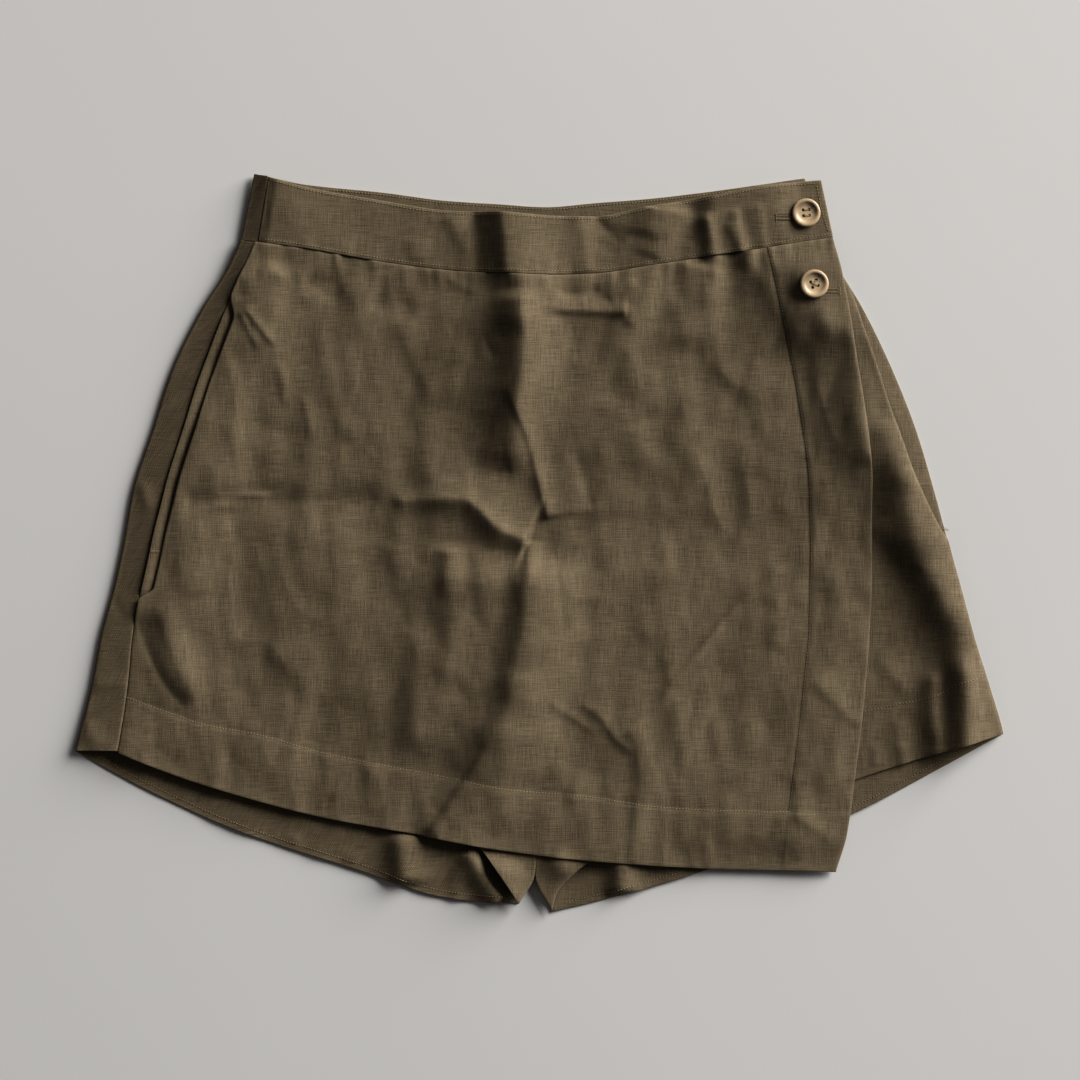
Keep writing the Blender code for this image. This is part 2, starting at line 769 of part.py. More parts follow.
def ring_points(radius, height, sides):
    angles = np.arange(sides) * math.tau / sides
    across, level = radius * np.cos(angles), radius * np.sin(angles)
    return np.column_stack([across, level, np.full(sides, height)])


def turned_solid(name, section, sides, finish):
    """A closed solid of revolution through the rings of a section, capped flat."""
    rings = [ring_points(radius, height, sides) for radius, height in section]
    points = np.concatenate(rings)
    faces = []
    for ring in range(len(section) - 1):
        for place in range(sides):
            ahead = (place + 1) % sides
            near, far = ring * sides, (ring + 1) * sides
            faces.append((near + place, near + ahead, far + ahead, far + place))
    faces.append(tuple(range(sides)))
    faces.append(tuple(range((len(section) - 1) * sides, len(section) * sides)))
    return place_mesh(name, points, faces, finish)


def build_button(name, seat, finish):
    """A four-hole button that lies on the cloth at the seat's height."""
    size = (BUTTON_RADIUS, BUTTON_THICKNESS)
    section = [(radius * size[0], height * size[1]) for radius, height in BUTTON_SECTION]
    button = turned_solid(name, section, BUTTON_SIDES, finish)
    cutter_ends = (-CUTTER_OVERRUN, BUTTON_THICKNESS + CUTTER_OVERRUN)
    cutter_section = [(BUTTON_HOLE_RADIUS, height) for height in cutter_ends]
    for place in range(4):
        angle = math.radians(45 + 90 * place)
        cutter_name = f"{name}_hole_{place}"
        cutter = turned_solid(cutter_name, cutter_section, HOLE_SIDES, finish)
        reach = BUTTON_HOLE_OFFSET * math.sqrt(2) * METRES
        cutter.location = (reach * math.cos(angle), reach * math.sin(angle), 0.0)
        cutter.parent = button
        cutter.hide_render = True
        cutter.display_type = "WIRE"
        cut = button.modifiers.new(cutter_name, "BOOLEAN")
        cut.operation = "DIFFERENCE"
        cut.solver = "EXACT"
        cut.object = cutter
    across, level = BUTTON_PLACES[name]
    button.location = (across * METRES, level * METRES, seat * METRES)
    button.rotation_euler = (0.0, 0.0, math.radians(BUTTON_TURN[name]))
    return button


def seat_height(name, rise, low, thickness):
    """Top of the cloth under a button, at its highest place."""
    across, level = BUTTON_PLACES[name]
    ring = ring_points(BUTTON_RADIUS, 0.0, SEAT_SIDES)
    heights = rise(across + ring[:, 0], level + ring[:, 1])
    return low + thickness + float(np.max(heights)) + GAP


PANEL_BUILDERS = {
    "back_left": build_back_left,
    "back_right": build_back_right,
    "front_left": build_front_left,
    "front_right": build_front_right,
    "wrap_panel": build_wrap_panel,
    "waistband_back": build_waistband_back,
    "waistband_under": build_waistband_under,
    "waistband_wrap": build_waistband_wrap,
    "pocket_left": build_pocket_left,
    "pocket_right": build_pocket_right,
}


def main():
    for old in list(bpy.data.objects):
        bpy.data.objects.remove(old)
    for name, build in PANEL_BUILDERS.items():
        build(material(f"linen_{name}", LINEN_COLOUR, LINEN_ROUGHNESS))
    seats = {
        "button_top": seat_height("button_top", wrap_band_rise, WRAP_BAND_LOW, BAND_CLOTH),
        "button_bottom": seat_height("button_bottom", wrap_rise, WRAP_LOW, CLOTH),
    }
    for name, seat in seats.items():
        build_button(name, seat, material(f"horn_{name}", BUTTON_COLOUR, BUTTON_ROUGHNESS))


main()
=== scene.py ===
# %% [markdown]
# # A linen skort with a wrap front, laid flat
#
# The garment is a pair of shorts under a skirt panel, which wraps over the front and buttons
# at the hip. It lies on a pale table and is seen from straight above.
#
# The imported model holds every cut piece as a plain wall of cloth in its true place. This
# lesson lays a finer cloth over each wall: the same outline and much the same large folds,
# and then what makes it linen: small creases, turned hems, stitching and a weave.

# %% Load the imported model
import math
from typing import NamedTuple

import bmesh
import bpy
import numpy as np
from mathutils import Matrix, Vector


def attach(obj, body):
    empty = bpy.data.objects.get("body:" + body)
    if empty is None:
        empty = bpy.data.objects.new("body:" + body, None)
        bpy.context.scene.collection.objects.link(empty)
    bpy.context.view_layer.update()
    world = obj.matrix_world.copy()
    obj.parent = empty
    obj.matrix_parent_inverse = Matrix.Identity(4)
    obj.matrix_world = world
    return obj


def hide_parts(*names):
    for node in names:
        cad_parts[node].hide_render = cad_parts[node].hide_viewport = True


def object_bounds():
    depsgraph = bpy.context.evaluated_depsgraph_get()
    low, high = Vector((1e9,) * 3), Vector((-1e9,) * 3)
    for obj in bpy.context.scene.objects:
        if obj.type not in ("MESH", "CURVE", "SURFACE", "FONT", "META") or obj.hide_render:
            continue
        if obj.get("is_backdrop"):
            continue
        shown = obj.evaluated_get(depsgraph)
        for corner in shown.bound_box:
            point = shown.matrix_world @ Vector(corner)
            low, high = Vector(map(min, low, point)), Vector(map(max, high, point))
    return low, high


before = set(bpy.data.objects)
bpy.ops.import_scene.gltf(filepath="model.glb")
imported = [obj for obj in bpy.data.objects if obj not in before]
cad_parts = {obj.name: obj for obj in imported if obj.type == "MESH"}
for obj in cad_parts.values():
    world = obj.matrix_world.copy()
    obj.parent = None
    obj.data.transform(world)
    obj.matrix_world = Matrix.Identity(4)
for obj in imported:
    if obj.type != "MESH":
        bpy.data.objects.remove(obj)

cad_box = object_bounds()
METRES = 0.001
print("packed model:", len(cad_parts), "pieces of cloth and horn")

# %% [markdown]
# ## Where the camera stands
#
# The picture was taken from straight above, so the camera looks down. A long lens far away
# keeps the garment free of perspective: its outline is then as true as on a cutting table.
# The lens follows from the height and from how much of the table the picture shows.

# %% Look straight down
PICTURE_SIDE = 691.2  # how much of the table one side of the picture shows
PICTURE_CENTRE = (0.64, 1.92)
CAMERA_HEIGHT = 2600.0
CLOTH_MIDDLE = 5.0  # height at which the picture's scale is true

camera_data = bpy.data.cameras.new("camera")
camera_data.sensor_width = 36.0
camera_data.lens = camera_data.sensor_width * (CAMERA_HEIGHT - CLOTH_MIDDLE) / PICTURE_SIDE
camera_data.dof.use_dof = False
camera = bpy.data.objects.new("camera", camera_data)
camera.location = [value * METRES for value in (*PICTURE_CENTRE, CAMERA_HEIGHT)]
bpy.context.scene.collection.objects.link(camera)
bpy.context.scene.camera = camera
print("lens:", round(camera_data.lens), "mm")

# %% [markdown]
# ## The cut of the garment
#
# Sizes are in millimetres: across from the centre line, level above the middle. The tables
# say where each edge lies on the table. A smooth curve runs through their rows, as a
# tailor's curve would, so a few rows are enough for a long edge.

# %% Cloth and how it is stacked
CLOTH = 1.2  # a panel
BAND_CLOTH = 1.5  # a waistband, which is interfaced
POCKET_CLOTH = 1.0
GAP = 0.3
PANEL_STEP = CLOTH + GAP
BAND_STEP = BAND_CLOTH + GAP
FRONT_LOW = PANEL_STEP
WRAP_LOW = 2 * PANEL_STEP + 0.4
WRAP_BAND_LOW = 2 * BAND_STEP

# %% Edges at the waist
WAIST_EDGES = (
    # across, top of the back band, of the under band, of the wrap's band, seam
    (-191.0, 237.0, 235.5, 237.5, 194.0),
    (-182.0, 236.0, 233.5, 236.2, 192.8),
    (-150.0, 229.6, 226.0, 227.8, 188.5),
    (-100.0, 224.5, 217.0, 219.1, 180.0),
    (-60.0, 219.3, 211.0, 213.0, 175.0),
    (-25.0, 217.0, 209.6, 211.6, 172.7),
    (5.0, 215.2, 207.6, 209.6, 171.7),
    (35.0, 217.7, 207.0, 209.0, 172.6),
    (70.0, 220.5, 214.0, 215.6, 177.5),
    (105.0, 224.5, 220.5, 221.1, 183.0),
    (145.0, 230.0, 229.6, 228.7, 188.8),
    (170.0, 233.6, 233.4, 231.4, 193.0),
    (190.0, 236.0, 235.0, 232.8, 196.0),
)
BACK_TOP, UNDER_TOP, WRAP_TOP, SEAM = 1, 2, 3, 4  # columns of that table
WAIST_LEFT = (-182.4, -190.7)  # where the waist ends, at its top and at the seam
WRAP_RIGHT = (180.5, 188.2)
SHORTS_RIGHT = (170.2, 182.0)
BAND_TURNOVER = (9.0, 11.0)  # how far the back band wraps over the left side
BAND_TALL = 42.0

# %% Edges at the sides
SIDE_EDGES = (
    # level, left outline, right outline, how far the back turns over on the left
    (196.0, -190.3, 181.4, 10.2),
    (176.0, -199.4, 192.0, 10.3),
    (150.0, -216.0, 207.7, 15.5),
    (110.0, -235.5, 226.9, 19.5),
    (72.0, -247.8, 241.8, 19.6),
    (33.0, -260.5, 253.4, 20.4),
    (0.0, -266.4, 262.3, 18.2),
    (-30.0, -273.0, 270.4, 18.2),
    (-60.0, -281.0, 278.4, 21.0),
    (-90.0, -286.6, 288.0, 23.8),
    (-122.2, -294.6, 297.6, 27.2),
    (-133.0, -297.6, 299.5, 28.2),
)
LEFT_SEAM_TOP = 192.3
LEFT_CORNER_LEVEL = -133.0
RIGHT_CORNER_LEVEL = -122.2
WRAP_EDGE = (
    # level, across: the free edge of the skirt panel
    (196.0, 187.6),
    (176.0, 192.6),
    (146.0, 198.4),
    (122.0, 202.2),
    (67.0, 210.6),
    (38.0, 213.0),
    (-23.0, 213.0),
    (-65.0, 211.2),
    (-115.0, 206.7),
    (-151.0, 202.2),
    (-187.0, 197.0),
    (-210.6, 190.0),
)
WRAP_EDGE_TOP = 195.4

# %% Hems, from left to right, and the centre seam
WRAP_HEM = (
    (-269.4, -134.2), (-250.9, -142.0), (-217.0, -154.2), (-140.0, -175.4), (-76.0, -186.9),
    (-30.0, -195.8), (34.0, -203.5), (110.7, -208.6), (190.0, -210.6),
)
BACK_LEFT_HEM = (
    (-297.6, -133.0), (-255.4, -156.2), (-191.4, -185.0), (-114.6, -210.0), (-63.4, -226.6),
    (-37.8, -229.8), (-12.8, -231.0),
)
BACK_RIGHT_HEM = (
    (8.3, -236.2), (26.2, -232.3), (77.4, -218.9), (110.0, -208.6), (198.4, -174.7),
    (256.6, -144.6), (297.6, -122.2),
)
FRONT_LEFT_HEM = (
    (-266.0, -114.6), (-217.0, -127.4), (-153.0, -144.0), (-89.0, -164.5), (-53.8, -181.0),
    (-37.0, -196.5), (-25.0, -212.5), (-12.8, -231.0),
)
FRONT_RIGHT_HEM = (
    (8.3, -236.2), (10.9, -225.3), (16.6, -217.6), (33.9, -203.5), (60.0, -196.0),
    (103.0, -186.9), (154.2, -170.9), (204.8, -151.0), (249.0, -136.6), (297.6, -122.2),
)
CENTRE_SEAM = (
    (0.6, 171.3), (0.6, -60.0), (0.6, -150.0), (-1.3, -201.0), (-2.7, -213.0),
)
LEFT_LEG_TIP = (-12.8, -231.0)
RIGHT_LEG_TIP = (8.3, -236.2)

# %% Pockets
LEFT_MOUTH_TOP = 160.0
LEFT_MOUTH_BOTTOM = -36.0
LEFT_MOUTH_WIDTH = 8.0
MOUTH_RAMP = 18.0
POCKET_REACH = 13.0
POCKET_LIFT = 2.3
RIGHT_POCKET_EDGE = (
    # level, distance in from the outline
    (196.0, 2.0),
    (169.0, 1.5),
    (140.0, 6.0),
    (114.0, 9.0),
    (83.0, 11.5),
    (54.0, 11.0),
    (30.0, 8.0),
    (12.0, 4.0),
    (0.0, 0.3),
    (-122.2, 0.3),
)
RIGHT_FACING_TOP = 168.0
RIGHT_FACING_BOTTOM = 8.0

# %% [markdown]
# ## Drawing smooth edges
#
# Two helpers read the tables. The first runs a curve through given values and never swings
# past them, which keeps an edge from bulging between two rows. The second walks along a
# curve through points and gives places at any share of its length.

# %% Curves through a few points
def smooth_through(stations, values, at):
    stations = np.asarray(stations, float)
    values = np.asarray(values, float)
    steps = np.diff(stations)
    slopes = np.diff(values) / steps
    tangents = np.concatenate([slopes[:1], np.zeros(len(slopes) - 1), slopes[-1:]])
    same_way = slopes[:-1] * slopes[1:] > 0
    safe = np.where(same_way, slopes[:-1] * slopes[1:], 1.0)
    mean = 2 * safe / np.where(same_way, slopes[:-1] + slopes[1:], 2.0)
    tangents[1:-1] = np.where(same_way, mean, 0.0)
    at = np.clip(np.asarray(at, float), stations[0], stations[-1])
    index = np.clip(np.searchsorted(stations, at) - 1, 0, len(steps) - 1)
    step = steps[index]
    part = (at - stations[index]) / step
    rest = 1 - part
    return (
        values[index] * (1 + 2 * part) * rest**2
        + values[index + 1] * (3 - 2 * part) * part**2
        + step * part * rest * (tangents[index] * rest - tangents[index + 1] * part)
    )


def column(table, number, at):
    """One column of a table, read smoothly at some value of its first column."""
    rows = sorted(table)
    return smooth_through([row[0] for row in rows], [row[number] for row in rows], at)


def along(points, shares):
    """Points at shares of the way along a smooth curve through the given points."""
    points = np.asarray(points, float)
    lengths = np.concatenate([[0.0], np.cumsum(np.hypot(*np.diff(points, axis=0).T))])
    at = np.asarray(shares, float) * lengths[-1]
    return np.stack([smooth_through(lengths, points[:, axis], at) for axis in (0, 1)], axis=-1)


def ease(value):
    """Rises smoothly from 0 to 1 as the value goes from 0 to 1."""
    part = np.clip(value, 0.0, 1.0)
    return part * part * (3 - 2 * part)


def length_of(line):
    return float(np.hypot(*np.diff(line, axis=0).T).sum())


print("hem of the skirt panel:", round(length_of(along(WRAP_HEM, np.linspace(0, 1, 60)))), "mm")

# %% [markdown]
# ## Folds
#
# A fold in laid cloth is a long soft ridge with one steep side and one easy side. So each
# fold here is a path on the table, a height, and a width for either side of the path. The
# walker's left hand and right hand name the sides. A negative height makes a trough. A
# crisp fold keeps a pressed line at its crest, and the others are rounded like a bell.

# %% One fold, and its height at any place
PATH_STEPS = 33
FOLD_REACH = 3.0  # a fold dies out this many widths from its crest
CRISP_TIP = 0.2  # share of its width over which a crisp fold's crest is rounded
CRISP_SLOPE = 1.25


class Fold(NamedTuple):
    path: tuple
    rise: float
    left_hand: float
    right_hand: float
    fade_in: float = 0.0
    fade_out: float = 0.0
    share: float = 0.0  # part of its height that the cloth below takes up
    crisp: float = 0.0


def near_path(path, across, level):
    """Distance from a path, positive on the left hand; how far along; the whole length."""
    line = along(path, np.linspace(0, 1, PATH_STEPS))
    starts, runs = line[:-1], np.diff(line, axis=0)
    lengths = np.hypot(*runs.T)
    before = np.concatenate([[0.0], np.cumsum(lengths)])
    place = np.stack([across, level], axis=-1)[..., None, :] - starts
    part = np.clip((place * runs).sum(-1) / lengths**2, 0, 1)
    off = place - part[..., None] * runs
    distance = np.hypot(off[..., 0], off[..., 1])
    nearest = distance.argmin(-1)[..., None]
    hand = np.sign(runs[:, 0] * off[..., 1] - runs[:, 1] * off[..., 0])
    hand, distance, part = (
        np.take_along_axis(values, nearest, -1)[..., 0] for values in (hand, distance, part)
    )
    run = before[nearest[..., 0]] + part * lengths[nearest[..., 0]]
    return hand * distance, run, before[-1]


def fold_height(fold, across, level):
    across, level = np.broadcast_arrays(across, level)
    height = np.zeros(across.shape)
    path = np.array(fold.path)
    reach = FOLD_REACH * max(fold.left_hand, fold.right_hand)
    low, high = path.min(0) - reach, path.max(0) + reach
    near = (across > low[0]) & (across < high[0]) & (level > low[1]) & (level < high[1])
    if not near.any():
        return height
    offset, run, whole = near_path(fold.path, across[near], level[near])
    share = np.abs(offset) / np.where(offset > 0, fold.left_hand, fold.right_hand)
    bell = np.exp(-(share**2))
    pressed = np.exp(CRISP_TIP - np.hypot(CRISP_TIP, CRISP_SLOPE * share))
    pressed = pressed * (1 - ease(share / FOLD_REACH))
    shape = (1 - fold.crisp) * bell + fold.crisp * pressed
    if fold.fade_in:
        shape = shape * ease(run / fold.fade_in)
    if fold.fade_out:
        shape = shape * ease((whole - run) / fold.fade_out)
    height[near] = fold.rise * shape
    return height


def folds_height(folds, across, level):
    return sum(fold_height(fold, across, level) for fold in folds)


# %% The large folds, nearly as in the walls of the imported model
WRAP_FOLDS = {
    "centre": Fold(
        path=(
            (-18.5, 216.0), (-17.0, 194.0), (-13.5, 171.0), (-9.5, 155.0), (-7.7, 136.0),
            (-9.6, 114.0), (-12.2, 95.0), (-12.4, 75.0), (-8.6, 53.0), (0.6, 31.0),
            (6.0, 14.0),
        ),
        rise=10.2, left_hand=24.0, right_hand=16.0, fade_out=100.0, share=0.3, crisp=0.3,
    ),
    "lower": Fold(
        path=(
            (-5.8, -2.0), (-6.6, -30.0), (-9.6, -54.0), (-14.0, -74.0), (-15.5, -92.0),
            (-19.0, -108.0), (-31.0, -129.0), (-47.0, -155.0), (-63.0, -184.0),
        ),
        rise=5.2, left_hand=28.0, right_hand=10.5, fade_in=20.0, share=0.1,
    ),
    "hip_left": Fold(
        path=((-246.0, -28.0), (-239.5, -66.0), (-228.0, -92.0), (-211.0, -107.0)),
        rise=2.8, left_hand=20.0, right_hand=9.0, fade_in=60.0, fade_out=26.0,
    ),
    "gather_diagonal": Fold(
        path=(
            (93.0, 218.0), (82.0, 196.0), (73.0, 178.0), (66.0, 152.0), (56.0, 130.0),
            (46.0, 108.0),
        ),
        rise=3.0, left_hand=9.0, right_hand=18.0, fade_in=10.0, fade_out=45.0,
    ),
    "gather_right": Fold(
        path=((108.0, 200.0), (112.0, 172.0), (111.0, 143.0), (110.0, 118.0)),
        rise=2.6, left_hand=9.0, right_hand=8.0, fade_in=12.0, fade_out=45.0,
    ),
    "low_middle": Fold(
        path=((8.0, -96.0), (32.0, -104.0), (52.0, -116.0), (66.0, -134.0)),
        rise=0.7, left_hand=22.0, right_hand=14.0, fade_in=25.0, fade_out=25.0,
    ),
}
LEG_FOLDS = {
    "right_leg": Fold(
        path=(
            (218.0, 79.0), (233.0, 40.0), (239.0, 15.0), (251.0, -11.0), (261.0, -37.0),
            (269.5, -62.0), (274.0, -94.0), (272.0, -134.0),
        ),
        rise=10.5, left_hand=18.0, right_hand=16.0, fade_in=65.0, share=1.0,
    ),
    "edge_right": Fold(
        path=(
            (188.0, 200.0), (193.0, 178.0), (201.0, 136.0), (207.0, 98.0), (211.0, 60.0),
            (213.0, 20.0),
        ),
        rise=5.0, left_hand=17.0, right_hand=32.0, fade_in=22.0, fade_out=50.0, share=1.0,
    ),
    "placket_top": Fold(
        path=((126.0, 188.0), (140.0, 177.0), (153.0, 161.0), (165.0, 139.0), (172.0, 115.0)),
        rise=5.4, left_hand=45.0, right_hand=14.0, fade_in=10.0, fade_out=24.0, share=1.0,
    ),
    "right_tip": Fold(
        path=((6.0, -196.0), (14.0, -206.0), (20.0, -216.0)),
        rise=3.6, left_hand=10.0, right_hand=9.0, fade_in=9.0, fade_out=8.0, share=1.0,
    ),
}
BAND_FOLDS = ("centre", "gather_diagonal")  # those that run up over the skirt panel's band
print("large folds:", len(WRAP_FOLDS) + len(LEG_FOLDS))

# %% How far each layer stands above its flat place
BUTTON_RADIUS = 9.1
BUTTON_THICKNESS = 3.0
BUTTON_PLACES = {"button_top": (170.9, 211.2), "button_bottom": (175.4, 165.1)}
LEFT_LIFT = (
    # level, how far the cloth is held up along the turned left side
    (-133.0, 4.0),
    (-90.0, 2.7),
    (0.0, 2.0),
    (110.0, 2.2),
    (150.0, 3.0),
    (185.0, 4.6),
    (237.0, 6.0),
)
LEFT_LOFT_REACH = 70.0
HEM_LIFT = 3.2  # how far the front of each leg stands off the back at its hem
HEM_LIFT_START, HEM_LIFT_END = -130.0, -200.0
HEM_LIFT_FADE = 40.0  # it is whole this far in from the front's right edge
RIGHT_HEM_SHARE = 0.6  # the right leg's hem loses this share of the lift
RIGHT_HEM_START, RIGHT_HEM_FADE = 40.0, 60.0
RIGHT_POCKET_SHARE = 1.2  # the right pocket lifts the cloth this many times as far
LIFT_MARGIN, LIFT_FADE = 9.0, 30.0  # past the facing: how far cloth stays up, then comes down
LIFT_END_MARGIN, LIFT_END_FADE = 22.0, 18.0  # the same above and below the facing
MOUTH_END_RAMP = 7.0  # the mouth ends short at its lower end, where it is tacked


def left_outline(level):
    return column(SIDE_EDGES, 1, level)


def right_outline(level):
    return column(SIDE_EDGES, 2, level)


def left_seam(level):
    return left_outline(level) + column(SIDE_EDGES, 3, level)


def mouth(level):
    """How far the left pocket's mouth is open at each level."""
    opening = ease((LEFT_MOUTH_TOP - level) / MOUTH_RAMP)
    closing = ease((level - LEFT_MOUTH_BOTTOM) / MOUTH_END_RAMP)
    return LEFT_MOUTH_WIDTH * opening * closing


def right_front_edge(level):
    return right_outline(level) - column(RIGHT_POCKET_EDGE, 1, level)


def lift_beside(distance, level, top, bottom):
    """Raises cloth over a pocket facing, and lets it down again past the facing's edge."""
    held = 1 - ease((distance - POCKET_REACH - LIFT_MARGIN) / LIFT_FADE)
    above = ease((top + LIFT_END_MARGIN - level) / LIFT_END_FADE)
    below = ease((level - bottom + LIFT_END_MARGIN) / LIFT_END_FADE)
    return POCKET_LIFT * held * (above * below)


def left_lift(level):
    return column(LEFT_LIFT, 1, level)


def left_loft(distance, level):
    return left_lift(level) * (1 - ease(distance / LEFT_LOFT_REACH))


def front_rise(across, level):
    shared = [fold for fold in WRAP_FOLDS.values() if fold.share]
    rise = 0.0
    for fold in shared + list(LEG_FOLDS.values()):
        rise = rise + fold.share * fold_height(fold, across, level)
    rise = rise + left_loft(across - left_seam(level), level)
    inward = right_front_edge(level) - across
    lifted = ease((HEM_LIFT_START - level) / (HEM_LIFT_START - HEM_LIFT_END))
    on_right = RIGHT_HEM_SHARE * ease((across - RIGHT_HEM_START) / RIGHT_HEM_FADE)
    rise = rise + HEM_LIFT * lifted * ease(inward / HEM_LIFT_FADE) * (1 - on_right)
    beside = lift_beside(inward, level, RIGHT_FACING_TOP, RIGHT_FACING_BOTTOM)
    return rise + RIGHT_POCKET_SHARE * beside


BUTTON_MARGIN = 1.5  # flat cloth round the lower button
BUTTON_FADE = 13.0  # and then the width over which the folds begin


def button_calm(across, level, width=BUTTON_FADE):
    """Folds die out round the lower button, which lies flat on the skirt panel."""
    place = BUTTON_PLACES["button_bottom"]
    distance = np.hypot(across - place[0], level - place[1])
    return ease((distance - BUTTON_RADIUS - BUTTON_MARGIN) / width)


def wrap_rise(across, level):
    rise = front_rise(across, level)
    calm = button_calm(across, level)
    for fold in WRAP_FOLDS.values():
        rise = rise + (1 - fold.share) * calm * fold_height(fold, across, level)
    inward = across - left_seam(level) - mouth(level)
    return rise + lift_beside(inward, level, LEFT_MOUTH_TOP, LEFT_MOUTH_BOTTOM)


def band_loft(across, level):
    return left_loft(across - WAIST_LEFT[0] - BAND_TURNOVER[0], level)


def under_band_rise(across, level):
    fold = WRAP_FOLDS["centre"]
    return band_loft(across, level) + fold.share * fold_height(fold, across, level)


def wrap_band_rise(across, level):
    folds = folds_height([WRAP_FOLDS[name] for name in BAND_FOLDS], across, level)
    return band_loft(across, level) + folds


crest = wrap_rise(np.array(-16.0), np.array(160.0))
print("the centre fold lifts the skirt panel by", round(float(crest), 1), "mm")

# %% [markdown]
# ## Small creases
#
# Linen keeps every fold that it has been pressed into. The clearest creases are placed one
# by one: the line left by folding the garment across, the gathers that hang from the
# waistband's seam, the dents beside the placket. They are written as the large folds are,
# only lower and narrower. Their sizes are uneven on purpose: that is how cloth lies.

# %% Creases of the skirt panel
def crease(path, rise, left_hand, right_hand, fades=(10.0, 10.0), crisp=0.0):
    return Fold(path, rise, left_hand, right_hand, fades[0], fades[1], 0.0, crisp)


def creases(*rows):
    """Rows of a path, its rise, its two widths, its fades and how crisp it is."""
    return tuple(crease(*row) for row in rows)


PRESSED_CREASES = creases(
    (((-232, 28), (-201, 27), (-159, 27), (-124, 27), (-99, 27)), -2.6, 8.5, 13, (10, 18), 0.5),
    (((17, 11), (65, 10), (116, 8), (167, 11), (199, 8)), -1.5, 12, 20, (20, 15)),
    (((-97, 27), (-83, 27), (-63, 28), (-48, 28), (-41, 24), (-34, 17), (-25, 9), (-6, 1)),
     2.4, 5, 6.5, (10, 4), 0.4),
    (((-83, 28), (-63, 28), (-48, 28), (-41, 24), (-34, 17), (-25, 9), (-6, 1)),
     5.4, 24, 13, (26, 4), 0.3),
    (((-70, 42), (-53, 43), (-36, 44), (-22, 46), (-17, 47)), -0.8, 12, 4, (12, 3), 0.5),
    (((-22, 103), (-15, 86), (-8, 70), (-3, 52), (2, 31), (6, 14)), 1.5, 7, 2.6, (14, 4), 0.4),
    (((-20, 94), (-21, 72), (-24, 44)), 1.8, 10, 20, (12, 14), 0.1),
    (((-26, 162), (-29, 124), (-31, 79)), 2.6, 20, 34, (20, 24)),
    (((-4, 52), (2, 31), (6, 14)), 1.8, 12, 6, (14, 4), 0.2),
    (((-16, 163), (-13, 124), (-16, 92), (-19, 43)), 3.4, 12, 19, (10, 17), 0.1),
    (((-6, 1), (-6, -11), (-8, -30)), 2.8, 6, 4.5, (2, 18), 0.3),
    (((-7, -20), (-10, -59), (-15, -80)), 0.8, 9, 6, (13, 13), 0.2),
    (((-11, 164), (-12, 150), (-13, 130)), 3.6, 6, 16, (10, 16)),
    (((-58, -1), (-59, -20), (-60, -39)), 2.2, 12, 8, (6, 16), 0.1),
    (((-35, -3), (-36, -24), (-39, -40)), 2.0, 16, 9, (6, 16), 0.1),
    (((-12, -80), (-13, -97), (-15, -111)), 1.4, 16, 11, (10, 16)),
    (((-7, -8), (-11, -49), (-20, -94), (-38, -129), (-57, -164)), 6.4, 32, 56, (20, 55)),
    (((-33, -125), (-49, -149), (-60, -165), (-76, -188)), -1.3, 3, 6, (14, 0), 0.5),
    (((-37, 136), (-33, 127), (-28, 116)), -0.6, 3, 3, (5, 5), 0.5),
)
